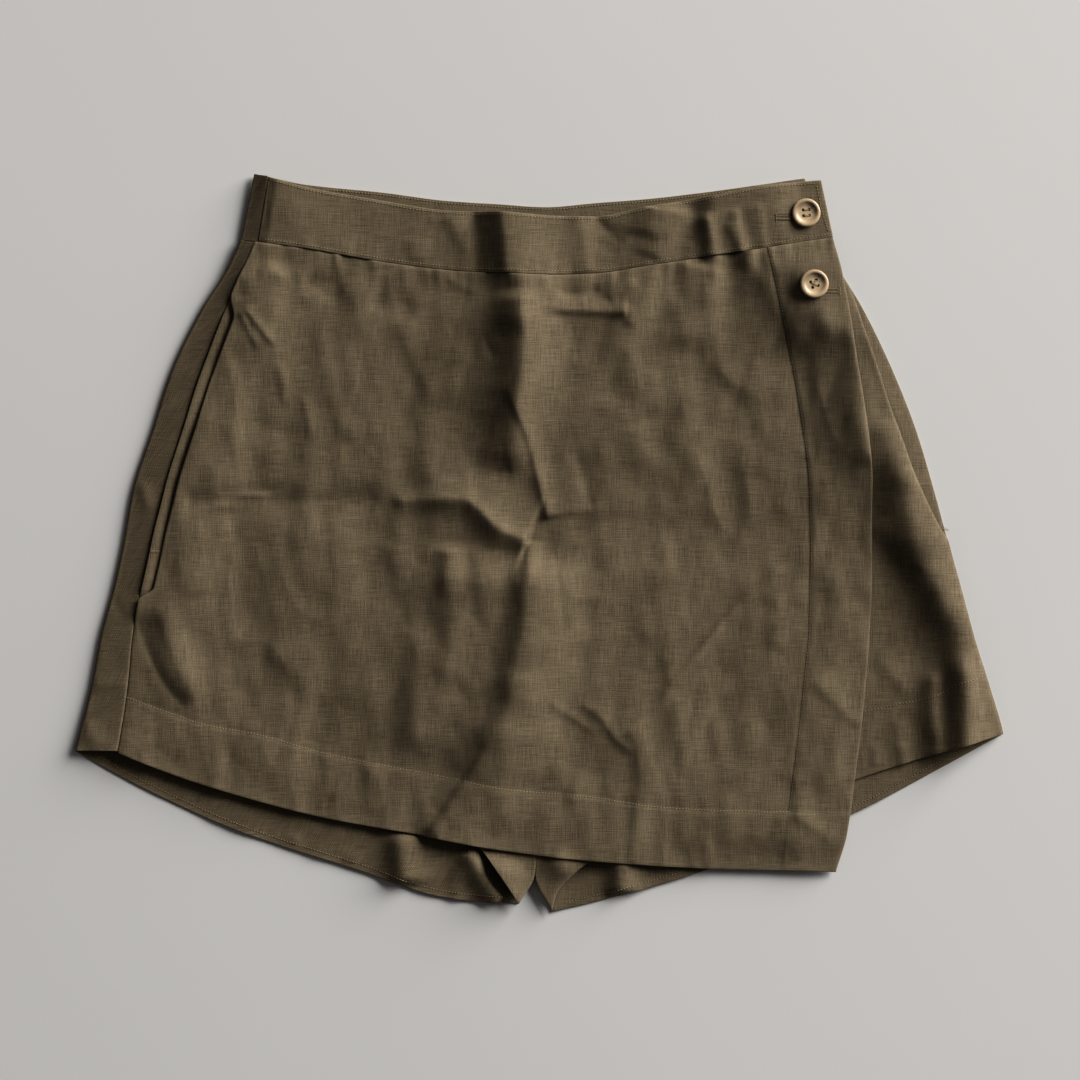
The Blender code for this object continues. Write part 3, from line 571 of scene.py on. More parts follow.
LEFT_CREASES = creases(
    (((-180, 133), (-180, 92), (-179, 30)), -2.4, 10, 14, (18, 4), 0.1),
    (((-166, 116), (-164, 101), (-162, 85)), 0.9, 4, 3, (8, 10)),
    (((-152, 97), (-148, 82), (-145, 65)), 0.5, 3, 3, (8, 8), 0.3),
    (((-132, 120), (-129, 92), (-123, 61)), 1.0, 7, 5, (12, 15)),
    (((-98, 176), (-93, 156), (-84, 130), (-71, 103), (-62, 84)), 1.3, 14, 7, (6, 20)),
    (((-161, 173), (-140, 172), (-124, 163), (-112, 147)), 1.3, 12, 7, (12, 14)),
    (((-192, 150), (-185, 136), (-180, 122)), 1.3, 4, 2.5, (5, 10), 0.5),
    (((-189, 152), (-177, 136), (-167, 124)), 1.2, 4, 2.5, (5, 8), 0.5),
    (((-188, 148), (-184, 135), (-183, 120)), -0.7, 3, 3, (5, 8), 0.3),
    (((-181, 171), (-171, 172), (-162, 168)), 0.8, 5, 4, (6, 6), 0.2),
    (((-176, 180), (-168, 173), (-159, 168)), 0.8, 4, 4, (4, 6), 0.3),
    (((-152, 171), (-139, 165), (-123, 161)), -2.4, 8, 7, (8, 10)),
    (((-192, 170), (-191, 154)), -1.1, 4, 5, (4, 5)),
    (((-111, 158), (-95, 152), (-80, 143)), -2.6, 13, 10, (10, 12)),
    (((-199, 24), (-196, -11), (-195, -62)), -1.3, 14, 12, (6, 25)),
    (((-133, 20), (-129, -11), (-127, -49)), 0.9, 12, 5, (8, 20)),
    (((-97, 3), (-90, -20), (-88, -43)), 1.0, 10, 6, (10, 15)),
    (((-57, 2), (-56, -30), (-57, -68), (-60, -100)), 3.2, 17, 11, (8, 22), 0.1),
    (((-71, -49), (-76, -88), (-77, -145)), 3.0, 18, 10, (20, 25)),
    (((-243, -36), (-237, -57), (-230, -76), (-222, -94), (-217, -103)), 1.9, 8, 6, (14, 8)),
    (((-258, -45), (-253, -62), (-245, -80), (-236, -95), (-226, -105)),
     -1.0, 5, 3, (8, 6), 0.5),
    (((-177, -62), (-159, -78), (-145, -94)), 0.9, 14, 8, (12, 12)),
    (((-196, -62), (-191, -88), (-184, -110)), -0.6, 8, 8, (10, 10)),
    (((-153, 79), (-153, 40)), -0.5, 7, 7, (10, 8)),
    (((-75, 156), (-74, 124), (-70, 92)), -0.6, 9, 9, (10, 12)),
    (((-137, -129), (-134, -164)), 0.5, 5, 4, (8, 4)),
    (((-109, -139), (-108, -174)), 0.6, 6, 4, (8, 4)),
    (((-207, -113), (-205, -152)), 0.5, 6, 5, (8, 4)),
    (((-165, -123), (-150, -125), (-136, -130)), -0.4, 3, 3, (5, 5), 0.6),
)
RIGHT_CREASES = creases(
    (((1, 150), (17, 149), (39, 148), (57, 147)), 2.5, 6, 2.8, (14, 3), 0.15),
    (((56, 152), (58, 144), (56, 138)), 0.9, 4, 3, (3, 4), 0.2),
    (((13, 164), (17, 159), (29, 160), (40, 162)), -0.9, 3, 3, (4, 5), 0.3),
    (((-60, 171), (-49, 164), (-39, 161)), 0.7, 4, 3, (4, 5), 0.2),
    (((6, 170), (1, 162)), 0.6, 3, 3, (3, 4), 0.2),
    (((42, 156), (51, 162), (62, 170)), 1.0, 4, 5, (5, 7)),
    (((103, 182), (98, 161), (95, 139), (98, 120)), 4.0, 16, 13, (8, 14)),
    (((103, 222), (88, 198), (74, 176), (65, 152), (61, 130)), 1.7, 9, 10, (8, 20), 0.2),
    (((196, 143), (204, 104), (207, 72), (210, 47)), 2.2, 6, 9, (13, 9), 0.1),
    (((171, 152), (181, 141), (190, 130)), 1.2, 9, 8, (6, 8)),
    (((103, 132), (113, 116), (130, 100), (151, 90)), 1.5, 14, 7, (10, 16)),
    (((61, 109), (77, 90), (104, 83)), 0.7, 14, 8, (12, 14)),
    (((60, 79), (65, 63), (74, 44)), 0.8, 7, 8, (10, 12)),
    (((168, 136), (171, 92), (175, 40)), -1.3, 6, 16, (20, 20)),
    (((152, -29), (152, -49), (152, -72)), 1.1, 6, 6, (10, 10)),
    (((162, -11), (125, -42), (99, -74), (75, -102)), 1.7, 3.2, 3.2, (14, 20), 0.35),
    (((134, -108), (135, -145)), 0.9, 8, 7, (10, 14)),
    (((83, -68), (84, -94)), 0.8, 6, 5, (8, 8)),
    (((175, -86), (191, -103), (207, -118)), 1.1, 8, 5, (8, 4), 0.2),
    (((161, -172), (175, -181), (188, -191)), 0.9, 6, 4, (5, 6), 0.2),
    (((24, 60), (29, 40), (34, 20)), -1.3, 8, 4, (10, 6), 0.3),
    (((23, 20), (26, -1)), -1.0, 8, 6, (4, 10)),
    (((10, -3), (13, -30), (17, -63)), -0.8, 4, 4, (8, 12), 0.5),
    (((17, -35), (33, -35), (47, -36)), 0.7, 4, 4, (5, 8), 0.2),
    (((4, -100), (21, -111), (36, -121)), 0.7, 3, 3, (8, 6), 0.5),
    (((25, -102), (39, -111), (48, -124), (61, -135)), 1.0, 5, 3, (6, 6), 0.5),
    (((56, -115), (63, -129), (65, -148), (63, -174), (61, -202)), 1.8, 9, 5, (8, 0), 0.15),
    (((39, 95), (43, 79)), 0.7, 7, 7, (6, 8)),
    (((34, 180), (34, 92), (31, 34)), 2.2, 50, 14, (16, 30)),
    (((107, -189), (108, -204)), 0.6, 4, 3, (5, 0)),
    (((13, -158), (39, -164)), 0.9, 9, 7, (10, 10)),
    (((65, -36), (70, -68)), 0.7, 8, 7, (10, 12)),
    (((97, 66), (100, 40)), 0.7, 9, 7, (10, 10)),
    (((125, 72), (129, 40)), 0.6, 8, 7, (10, 10)),
    (((-6, -113), (-7, -158)), 1.3, 14, 16, (12, 14)),
    (((186, -11), (189, -62)), 0.7, 8, 7, (12, 14)),
    (((203, -36), (209, -75)), 0.8, 6, 6, (10, 8)),
)
SEAM_GATHERS = (
    # across at the seam, across at the foot, how far down, rise, width
    (-160.0, -162.0, 26.0, 0.5, 4.0),
    (-128.0, -127.0, 20.0, 0.5, 4.0),
    (-106.0, -104.0, 24.0, 0.7, 4.0),
    (-86.0, -84.0, 34.0, 0.7, 4.5),
    (-62.0, -60.0, 26.0, 0.5, 4.5),
    (-40.0, -41.0, 22.0, 0.5, 4.0),
    (2.0, 4.0, 20.0, 0.4, 4.0),
    (28.0, 24.0, 26.0, 0.5, 5.0),
    (83.0, 79.0, 24.0, 0.9, 4.5),
    (95.0, 92.0, 28.0, 1.0, 5.0),
    (113.0, 113.0, 26.0, 1.3, 4.0),
    (134.0, 137.0, 22.0, 1.1, 4.0),
    (147.0, 151.0, 20.0, 1.0, 4.0),
)


def seam_level(across):
    return column(WAIST_EDGES, SEAM, across)


def gathers(rows):
    """Short ridges that hang from the seam under the waistband."""
    made = []
    for top, foot, down, rise, width in rows:
        start = float(seam_level(top))
        path = ((top, start + 3.0), (top, start - 4.0), (foot, start - down))
        made.append(crease(path, rise, width * 1.2, width, (2.0, down * 0.7)))
    return tuple(made)


WRAP_CREASES = PRESSED_CREASES + LEFT_CREASES + RIGHT_CREASES + gathers(SEAM_GATHERS)
print("creases of the skirt panel:", len(WRAP_CREASES))

# %% Creases of the other pieces
BAND_CREASES = creases(
    (((24, 213), (28, 194), (31, 171)), 1.5, 6, 9, (4, 4), 0.1),
    (((-42, 214), (-40, 191), (-40, 171)), -1.6, 6, 5, (3, 3), 0.4),
    (((-25, 216), (-23, 194), (-21, 171)), 2.2, 5, 9, (2, 2), 0.2),
    (((71, 216), (66, 194)), 2.4, 10, 16, (2, 8)),
    (((35, 211), (42, 202), (54, 189)), -1.2, 4, 6, (3, 6), 0.3),
    (((36, 195), (43, 189), (53, 185)), -0.8, 4, 4, (4, 5)),
    (((106, 214), (109, 190), (112, 167)), 2.6, 8, 5, (8, 3), 0.15),
    (((83, 216), (79, 199), (72, 180)), 1.6, 8, 14, (4, 6)),
    (((97, 194), (97, 180)), 0.9, 4, 3, (5, 2)),
    (((120, 207), (131, 185)), 1.3, 6, 4, (6, 2)),
    (((-58, 211), (-50, 194), (-44, 184)), 1.0, 6, 5, (4, 6)),
    (((-124, 196), (-121, 180)), 0.5, 6, 5, (6, 3)),
    (((-80, 196), (-79, 180)), 0.8, 6, 5, (5, 3)),
    (((95, 221), (129, 226), (171, 230)), 5.4, 4, 36, (18, 30)),
    (((106, 213), (110, 195), (113, 179)), 1.8, 3.4, 9, (8, 4), 0.2),
    (((124, 217), (127, 200), (130, 182)), 1.6, 3.4, 9, (8, 4), 0.2),
    (((139, 220), (141, 203), (144, 184)), 1.4, 4, 9, (8, 4), 0.1),
    (((152, 220), (154, 208), (156, 188)), 0.9, 5, 9, (8, 4), 0.1),
)
LEG_CREASES = creases(
    (((220, 84), (228, 54), (234, 28)), 3.8, 9, 10, (14, 16), 0.1),
    (((213, 16), (222, 6), (234, -6), (246, -20), (255, -39), (259, -62)),
     2.5, 10, 9, (8, 25), 0.1),
    (((260, 3), (250, -8), (240, -19)), 0.9, 4, 4, (5, 6), 0.4),
    (((266, -66), (271, -85), (273, -106), (272, -131)), 4.8, 8, 11, (18, 0), 0.1),
    (((252, -77), (252, -104), (254, -132)), 4.2, 5, 8.5, (12, 0), 0.1),
    (((232, -111), (231, -126), (234, -144)), 0.9, 4, 5, (6, 0)),
    (((209, 136), (221, 100), (231, 66), (241, 28)), 0.9, 4, 4, (10, 12), 0.2),
    (((204, 156), (213, 127), (220, 98)), 0.7, 4, 4, (8, 12), 0.2),
    (((216, -72), (228, -86), (241, -99)), 1.0, 7, 5, (8, 8), 0.2),
    (((232, -127), (233, -144)), 1.0, 4, 3, (4, 3)),
    (((214, -127), (216, -144)), 0.8, 4, 3, (4, 3)),
    (((255, -72), (250, -100), (253, -129)), 0.7, 5, 5, (8, 6)),
)
BACK_CREASES = creases(
    (((-88, -180), (-88, -196), (-86, -220)), 7.4, 12, 9, (12, 5)),
    (((-47, -194), (-35, -214), (-23, -231)), 7.0, 5, 9.5, (6, 5)),
    (((-49, -208), (-53, -216), (-53, -228)), 1.2, 5, 4, (4, 0), 0.2),
    (((-161, -185), (-153, -194)), 0.9, 4, 3, (4, 4), 0.3),
    (((-127, -200), (-115, -203)), 0.8, 4, 4, (4, 4)),
    (((52, -196), (52, -209), (52, -226)), 6.4, 12, 7.5, (9, 4)),
)
STRIP_CREASES = creases(
    (((-273, -36), (-265, -49)), -0.5, 3, 3, (4, 4)),
    (((-295, -91), (-262, -90)), 0.7, 4, 4, (3, 3)),
    (((-292, -113), (-281, -129), (-269, -131)), 0.9, 5, 6, (6, 6)),
    (((-255, 40), (-248, 18)), 0.9, 5, 4, (5, 5)),
)

# %% [markdown]
# ## The unevenness between the creases
#
# No stretch of washed linen is flat. Smooth random bumps, longer than they are wide, give
# the faint puckers between the creases. A fixed seed makes them the same in every run.

# %% Soft random bumps
LATTICE = 64


def ripple(across, level, wide, tall, seed, lean=0.0):
    """Uneven bumps between -1 and 1, about so wide and so tall, leaning by some degrees."""
    values = np.random.default_rng(seed).uniform(-1, 1, (LATTICE, LATTICE))
    turn = math.radians(lean)
    over = (across * math.cos(turn) + level * math.sin(turn)) / wide + LATTICE / 2
    up = (level * math.cos(turn) - across * math.sin(turn)) / tall + LATTICE / 2
    column_at, row_at = np.floor(over).astype(int), np.floor(up).astype(int)
    right, above = ease(over - column_at), ease(up - row_at)
    corners = [
        values[(row_at + rows) % LATTICE, (column_at + columns) % LATTICE]
        for rows in (0, 1)
        for columns in (0, 1)
    ]
    low = corners[0] * (1 - right) + corners[1] * right
    high = corners[2] * (1 - right) + corners[3] * right
    return low * (1 - above) + high * above


def crumple(across, level, wide, tall, seed, lean=0.0):
    """Like a ripple, but folded to sharp winding ridges."""
    drift = 0.35 * wide * ripple(across, level, 2.2 * wide, 2.2 * tall, seed + 50)
    return 0.5 - np.abs(ripple(across + drift, level + drift, wide, tall, seed, lean))


def linen_ripple(across, level, seed, strength=1.0):
    broad = 1.3 * ripple(across, level, 36, 64, seed, 4.0)
    tall = 0.85 * ripple(across, level, 15, 52, seed + 1, -3.0)
    small = 0.3 * ripple(across, level, 8, 18, seed + 2, 8.0)
    flat = 0.25 * ripple(across, level, 28, 11, seed + 3, 2.0)
    sharp = 1.05 * crumple(across, level, 24, 46, seed + 4, 12.0)
    finer = -0.65 * crumple(across, level, 15, 24, seed + 5, -20.0)
    return strength * (broad + tall + small + flat + sharp + finer)


def pucker(across, distance, seed, height=0.35):
    """Small puckers beside a seam, which die out as the distance from it grows."""
    rows = ripple(across, distance, 6.5, 40.0, seed)
    rows = rows + 0.6 * ripple(across, distance, 3.6, 25.0, seed + 1)
    return height * rows * np.exp(-((distance / 13.0) ** 2))


# %% [markdown]
# ## Turned hems and facings
#
# A hem is cloth turned up and stitched down, so the strip beside the stitching is twice as
# thick. It stands a little prouder, the stitching sinks in, and the row draws the cloth
# into tiny puckers. All three follow one line: the row of stitches.

# %% The step at a row of stitching
WRAP_HEM_ROW = (
    (-266, -98), (-241, -107), (-215, -116), (-178, -123), (-140, -134), (-96, -143),
    (-59, -150), (-17, -158), (29, -162), (77, -169), (111, -171), (161, -172), (205, -172),
)
PLACKET_ROW = (
    (146, 190), (152, 163), (159, 130), (166, 93), (173, 38), (174, 2), (173, -54), (170, -86),
    (166, -125), (160, -171),
)
HEM_STEP = 0.45
STEP_WIDTH = 1.6
ROW_SINK = 0.3
ROW_WIDTH = 1.5
PUCKER = 0.12
PUCKER_LENGTH = 9.0


def row_relief(row, across, level, side, seed, thick=HEM_STEP, width=STEP_WIDTH):
    """Doubled cloth on one side of a row (1 its left hand, -1 its right), drawn in by it."""
    offset, run, _ = near_path(row, across, level)
    offset = offset * side
    doubled = thick * ease(0.5 + offset / (2 * width))
    sunk = -ROW_SINK * np.exp(-((offset / ROW_WIDTH) ** 2))
    pulls = ripple(run, 0.3 * offset, 4.5, 8.0, seed)
    return doubled + sunk + PUCKER * pulls * np.exp(-((offset / PUCKER_LENGTH) ** 2))


# %% Upper side of every layer
ROOM_BELOW = 0.5  # least distance from the skirt panel's upper side down to the front's
SOFT_REST = 0.4  # how softly the panel comes to rest there
SEAM_RISE = 0.45  # the seam under the waistband is bulky and holds the panel up
SEAM_RISE_REACH = 7.0
SEAM_SHARE, SEAM_REACH = 0.25, 16.0  # only this share of the puckers is left at that seam
BUTTON_SHARE = 0.3  # and only this share under the lower button
CREASE_FADE = 7.0  # past the button the small creases begin over this width
SIDE_FLAT, SIDE_FLAT_REACH = 0.75, 6.0  # the side seam flattens the cloth by this share
SIDE_TUCK = 0.5  # below the pocket the skirt panel is sewn in a little lower than the strip
SIDE_TUCK_GAP, SIDE_TUCK_RAMP, SIDE_TUCK_REACH = 6.0, 16.0, 2.5
HEM_DROP = 2.2  # past the shorts' hems the skirt panel's hem comes down towards the table
HEM_DROP_START, HEM_DROP_FADE = 75.0, 45.0  # across, from the left
HEM_DROP_ABOVE, HEM_DROP_REACH = 3.0, 20.0  # and up from the hem
PLACKET_STEP, PLACKET_MORE = 0.35, 0.5  # the placket's step, and what it gains upwards
PLACKET_START, PLACKET_FADE = -60.0, 90.0
LOFT = 1.2  # how far the skirt panel stands off the front, away from its edges
LOFT_REACH = 34.0


def wrap_loft(across, level):
    distances = (
        across - left_seam(level),
        column(WRAP_EDGE, 1, level) - across,
        seam_level(across) - level,
        level - column(WRAP_HEM, 1, across),
    )
    return LOFT * math.prod(ease(distance / LOFT_REACH) for distance in distances)


TIP_LIFT = 7.8  # how far the left leg's tip stands up in front of the skirt panel's hem
TIP_GAP, TIP_RAMP = 1.0, 13.0  # it begins this far below that hem, and rises over this length
TIP_INNER, TIP_FADE = -27.0, 24.0  # towards the other leg it dies out from here on


def tip_lift(across, level):
    below = ease((column(WRAP_HEM, 1, across) - TIP_GAP - level) / TIP_RAMP)
    return TIP_LIFT * below * (1 - ease((across - TIP_INNER) / TIP_FADE)) * (across < 0)


HIDDEN_MARGIN, HIDDEN_FADE = 12.0, 10.0  # the fronts are creased from just under the panel on


def front_top(across, level):
    rise = front_rise(across, level) + tip_lift(across, level)
    shown = ease((across - column(WRAP_EDGE, 1, level) + HIDDEN_MARGIN) / HIDDEN_FADE)
    relief = folds_height(LEG_CREASES, across, level) + linen_ripple(across, level, 31, 0.6)
    return FRONT_LOW + CLOTH + rise + shown * relief


def wrap_top(across, level):
    calm = button_calm(across, level, CREASE_FADE)
    relief = calm * folds_height(WRAP_CREASES, across, level)
    hung = SEAM_SHARE + (1 - SEAM_SHARE) * ease((seam_level(across) - level) / SEAM_REACH)
    loose = BUTTON_SHARE + (1 - BUTTON_SHARE) * calm
    relief = relief + loose * hung * linen_ripple(across, level, 11)
    relief = relief + row_relief(WRAP_HEM_ROW, across, level, -1, 21)
    step = PLACKET_STEP + PLACKET_MORE * ease((level - PLACKET_START) / PLACKET_FADE)
    relief = relief + row_relief(PLACKET_ROW, across, level, 1, 22, step, 1.0)
    beside = across - left_seam(level)
    relief = relief * (1 - SIDE_FLAT * np.exp(-((beside / SIDE_FLAT_REACH) ** 2)))
    below = ease((LEFT_MOUTH_BOTTOM - SIDE_TUCK_GAP - level) / SIDE_TUCK_RAMP)
    relief = relief - SIDE_TUCK * below * np.exp(-((beside / SIDE_TUCK_REACH) ** 2))
    from_hem = level - column(WRAP_HEM, 1, across) - HEM_DROP_ABOVE
    edge = ease((across - HEM_DROP_START) / HEM_DROP_FADE) * (1 - ease(from_hem / HEM_DROP_REACH))
    relief = relief - HEM_DROP * edge
    hang = seam_level(across) - level
    raised = SEAM_RISE * np.exp(-((hang / SEAM_RISE_REACH) ** 2))
    relief = relief + pucker(across, hang, 71, 0.5) + raised
    high = WRAP_LOW + CLOTH + wrap_rise(across, level) + relief + wrap_loft(across, level)
    least = FRONT_LOW + CLOTH + front_rise(across, level) + ROOM_BELOW
    above = high - least
    return least + 0.5 * (above + np.hypot(above, SOFT_REST))


BAND_ROLL = 2.3  # how far the left end of the band slopes down to the turned side
BAND_ROLL_REACH = 6.5
BAND_JOINT = (
    # level, across: where the front band meets the turned back band
    (194.0, WAIST_LEFT[1] + BAND_TURNOVER[1]),
    (237.0, WAIST_LEFT[0] + BAND_TURNOVER[0]),
)


def band_top(across, level):
    relief = folds_height(BAND_CREASES, across, level) + linen_ripple(across, level, 41, 0.35)
    relief = relief + pucker(across, level - seam_level(across), 73, 0.3)
    past = across - column(BAND_JOINT, 1, level)
    relief = relief - BAND_ROLL * np.clip(1 - past / BAND_ROLL_REACH, 0.0, 1.0)
    return WRAP_BAND_LOW + BAND_CLOTH + wrap_band_rise(across, level) + relief


at_placket = wrap_top(np.array(190.0), np.array(0.0))
print("skirt panel at the placket:", round(float(at_placket), 1), "mm up")

# %% [markdown]
# ## Laying cloth as a grid
#
# Each piece is a grid of points between its four edges, like a cutting grid stretched to
# fit. The outermost ring of points rolls down and returns a little way under the cloth, so
# that every cut or turned edge is round and has its true thickness.

# %% Grids between four edges
EDGE_ROLL = 0.4  # the last stretch of a grid, where the edge rounds off
RETURN_POINTS = 2  # how many points in the cloth's underside reaches


def stations(size, spacing):
    """Shares of an edge of some size: even steps, and one short step at either end."""
    count = max(int(size / spacing), 4)
    inner = np.linspace(EDGE_ROLL / size, 1 - EDGE_ROLL / size, count)
    return np.concatenate([[0.0], inner, [1.0]])


def stretch_grid(waist, hem, left, right, down, over):
    """Plan points between four edges, which meet at the corners of the side edges."""
    waist[0], waist[-1] = left[0], right[0]
    hem[0], hem[-1] = left[-1], right[-1]
    down, over = down[:, None, None], over[None, :, None]
    ruled = (1 - down) * waist[None] + down * hem[None]
    ruled = ruled + (1 - over) * left[:, None] + over * right[:, None]
    corners = (1 - down) * ((1 - over) * waist[0] + over * waist[-1])
    return ruled - corners - down * ((1 - over) * hem[0] + over * hem[-1])


def grid_faces(rows, columns, first=0):
    index = first + np.arange(rows * columns).reshape(rows, columns)
    near, below = index[:-1, :-1], index[1:, :-1]
    far, beside = index[1:, 1:], index[:-1, 1:]
    return np.stack([near, below, far, beside], axis=-1).reshape(-1, 4)


def rim_of(rows, columns, inset=0):
    """Indices round the edge of a grid, or as far in from it, in the faces' own direction."""
    index = np.arange(rows * columns).reshape(rows, columns)
    top, bottom = inset, rows - 1 - inset
    left, right = inset, columns - 1 - inset
    down = np.clip(np.arange(rows - 1), top, bottom)
    over = np.clip(np.arange(columns - 1), left, right)
    back_over = np.clip(np.arange(columns - 1, 0, -1), left, right)
    back_down = np.clip(np.arange(rows - 1, 0, -1), top, bottom)
    return np.concatenate(
        [index[down, left], index[bottom, over], index[back_down, right], index[top, back_over]]
    )


def ring_faces(outer, inner):
    """Faces between two rings of indices of the same length."""
    return np.stack([outer, np.roll(outer, -1), np.roll(inner, -1), inner], axis=-1)


# %% From points to an object
def make_object(name, points, faces, finishes, grain=None, wear=None):
    """A smooth mesh in metres. Grain is the place on the cloth, wear how rubbed it is."""
    mesh = bpy.data.meshes.new(name)
    mesh.from_pydata((np.asarray(points) * METRES).tolist(), [], np.asarray(faces).tolist())
    mesh.shade_smooth()
    for finish in finishes:
        mesh.materials.append(finish)
    if grain is not None:
        place = np.column_stack([grain, np.zeros(len(grain))]).astype(np.float32)
        attribute = mesh.attributes.new("grain", "FLOAT_VECTOR", "POINT")
        attribute.data.foreach_set("vector", place.ravel())
        attribute = mesh.attributes.new("wear", "FLOAT", "POINT")
        attribute.data.foreach_set("value", np.asarray(wear, np.float32).ravel())
    made = bpy.data.objects.new(name, mesh)
    bpy.context.scene.collection.objects.link(made)
    return made


WEAR_REACH = 2.2  # how far in from an edge the cloth is rubbed


def edge_wear(down, over, tall, wide):
    """1 at the edges of a grid, fading inwards over a few millimetres."""
    rows = np.minimum(down, 1 - down)[:, None] * tall
    columns = np.minimum(over, 1 - over)[None] * wide
    return np.exp(-((np.minimum(rows, columns) / WEAR_REACH) ** 2))


def cloth_sheet(name, plan, top, thickness, wear, finish, grain_shift):
    """One face of cloth with rolled edges, over a plan and at the heights of its upper side."""
    rows, columns = plan.shape[:2]
    points = np.dstack([plan, top]).reshape(-1, 3)
    rim = rim_of(rows, columns)
    side, under = points[rim].copy(), points[rim].copy()
    inner = points[rim_of(rows, columns, RETURN_POINTS)]
    side[:, 2] -= 0.75 * thickness
    under[:, :2] = inner[:, :2]
    under[:, 2] = inner[:, 2] - thickness
    points[rim, 2] -= 0.18 * thickness
    count = len(points)
    side_ring = count + np.arange(len(rim))
    under_ring = side_ring + len(rim)
    faces = np.concatenate(
        [grid_faces(rows, columns), ring_faces(side_ring, rim), ring_faces(under_ring, side_ring)]
    )
    grain = plan.reshape(-1, 2) + grain_shift
    grain = np.concatenate([grain, grain[rim], grain[rim]])
    wear = np.concatenate([wear.ravel(), np.ones(2 * len(rim))])
    every = np.concatenate([points, side, under])
    return make_object(name, every, faces, [finish], grain, wear)


print("a panel's edge rolls over", EDGE_ROLL, "mm")

# %% [markdown]
# ## Linen
#
# The cloth is a plain weave of olive linen, dyed in the piece. Each thread is a little
# lighter or darker than its neighbours and swells into slubs, and that is nearly all that
# tells linen from cotton. So the material is built from threads: streaks one thread wide
# and many threads long, first down the cloth, then across it, and a few pale slubs. The
# same streaks drive colour, roughness and bump. They read the place on the cloth from the
# grain that each mesh carries, so the weave turns with the piece.

# %% A small helper for node trees
class Nodes:
    """Adds nodes to a material and joins them by name."""

    def __init__(self, name):
        self.material = bpy.data.materials.new(name)
        self.material.use_nodes = True
        self.tree = self.material.node_tree
        self.shader = self.tree.nodes["Principled BSDF"]

    def add(self, kind, inputs=(), **settings):
        node = self.tree.nodes.new(kind)
        for key, value in settings.items():
            setattr(node, key, value)
        for key, value in dict(inputs).items():
            self.set(node, key, value)
        return node

    def set(self, node, key, value):
        if isinstance(value, bpy.types.NodeSocket):
            self.tree.links.new(value, node.inputs[key])
        else:
            node.inputs[key].default_value = value

    def math(self, operation, first, second=0.0, third=0.0):
        inputs = {0: first, 1: second, 2: third}
        return self.add("ShaderNodeMath", inputs, operation=operation).outputs[0]

    def noise(self, vector, stretch, detail=2.0, rough=0.5):
        scaled = self.add("ShaderNodeVectorMath", {0: vector, 1: stretch}, operation="MULTIPLY")
        inputs = {"Vector": scaled.outputs[0], "Scale": 1.0, "Detail": detail, "Roughness": rough}
        return self.add("ShaderNodeTexNoise", inputs).outputs["Fac"]

    def ramp(self, value, low, high, to_low=0.0, to_high=1.0):
        inputs = {"Value": value, "From Min": low, "From Max": high}
        inputs.update({"To Min": to_low, "To Max": to_high})
        return self.add("ShaderNodeMapRange", inputs).outputs["Result"]

    def bump(self, height, strength, distance):
        inputs = {"Height": height, "Strength": strength, "Distance": distance}
        self.set(self.shader, "Normal", self.add("ShaderNodeBump", inputs).outputs["Normal"])

    def surface(self, **values):
        """Sets inputs of the surface shader; an underscore stands for a space."""
        for key, value in values.items():
            self.set(self.shader, key.replace("_", " "), value)
        return self.material

    def mix(self, share, first, second):
        node = self.add("ShaderNodeMix", data_type="RGBA")
        self.set(node, 0, share)
        self.set(node, 6, first)
        self.set(node, 7, second)
        return node.outputs[2]


# %% The linen's threads
THREAD = 0.6  # from one thread to the next
STREAK = 16.0  # how long a lighter or darker stretch of thread is
SLUB_LENGTH = 12.0
LINEN_DARK = (0.058, 0.044, 0.025, 1.0)
LINEN_LIGHT = (0.222, 0.183, 0.128, 1.0)
SLUB_COLOUR = (0.36, 0.30, 0.21, 1.0)


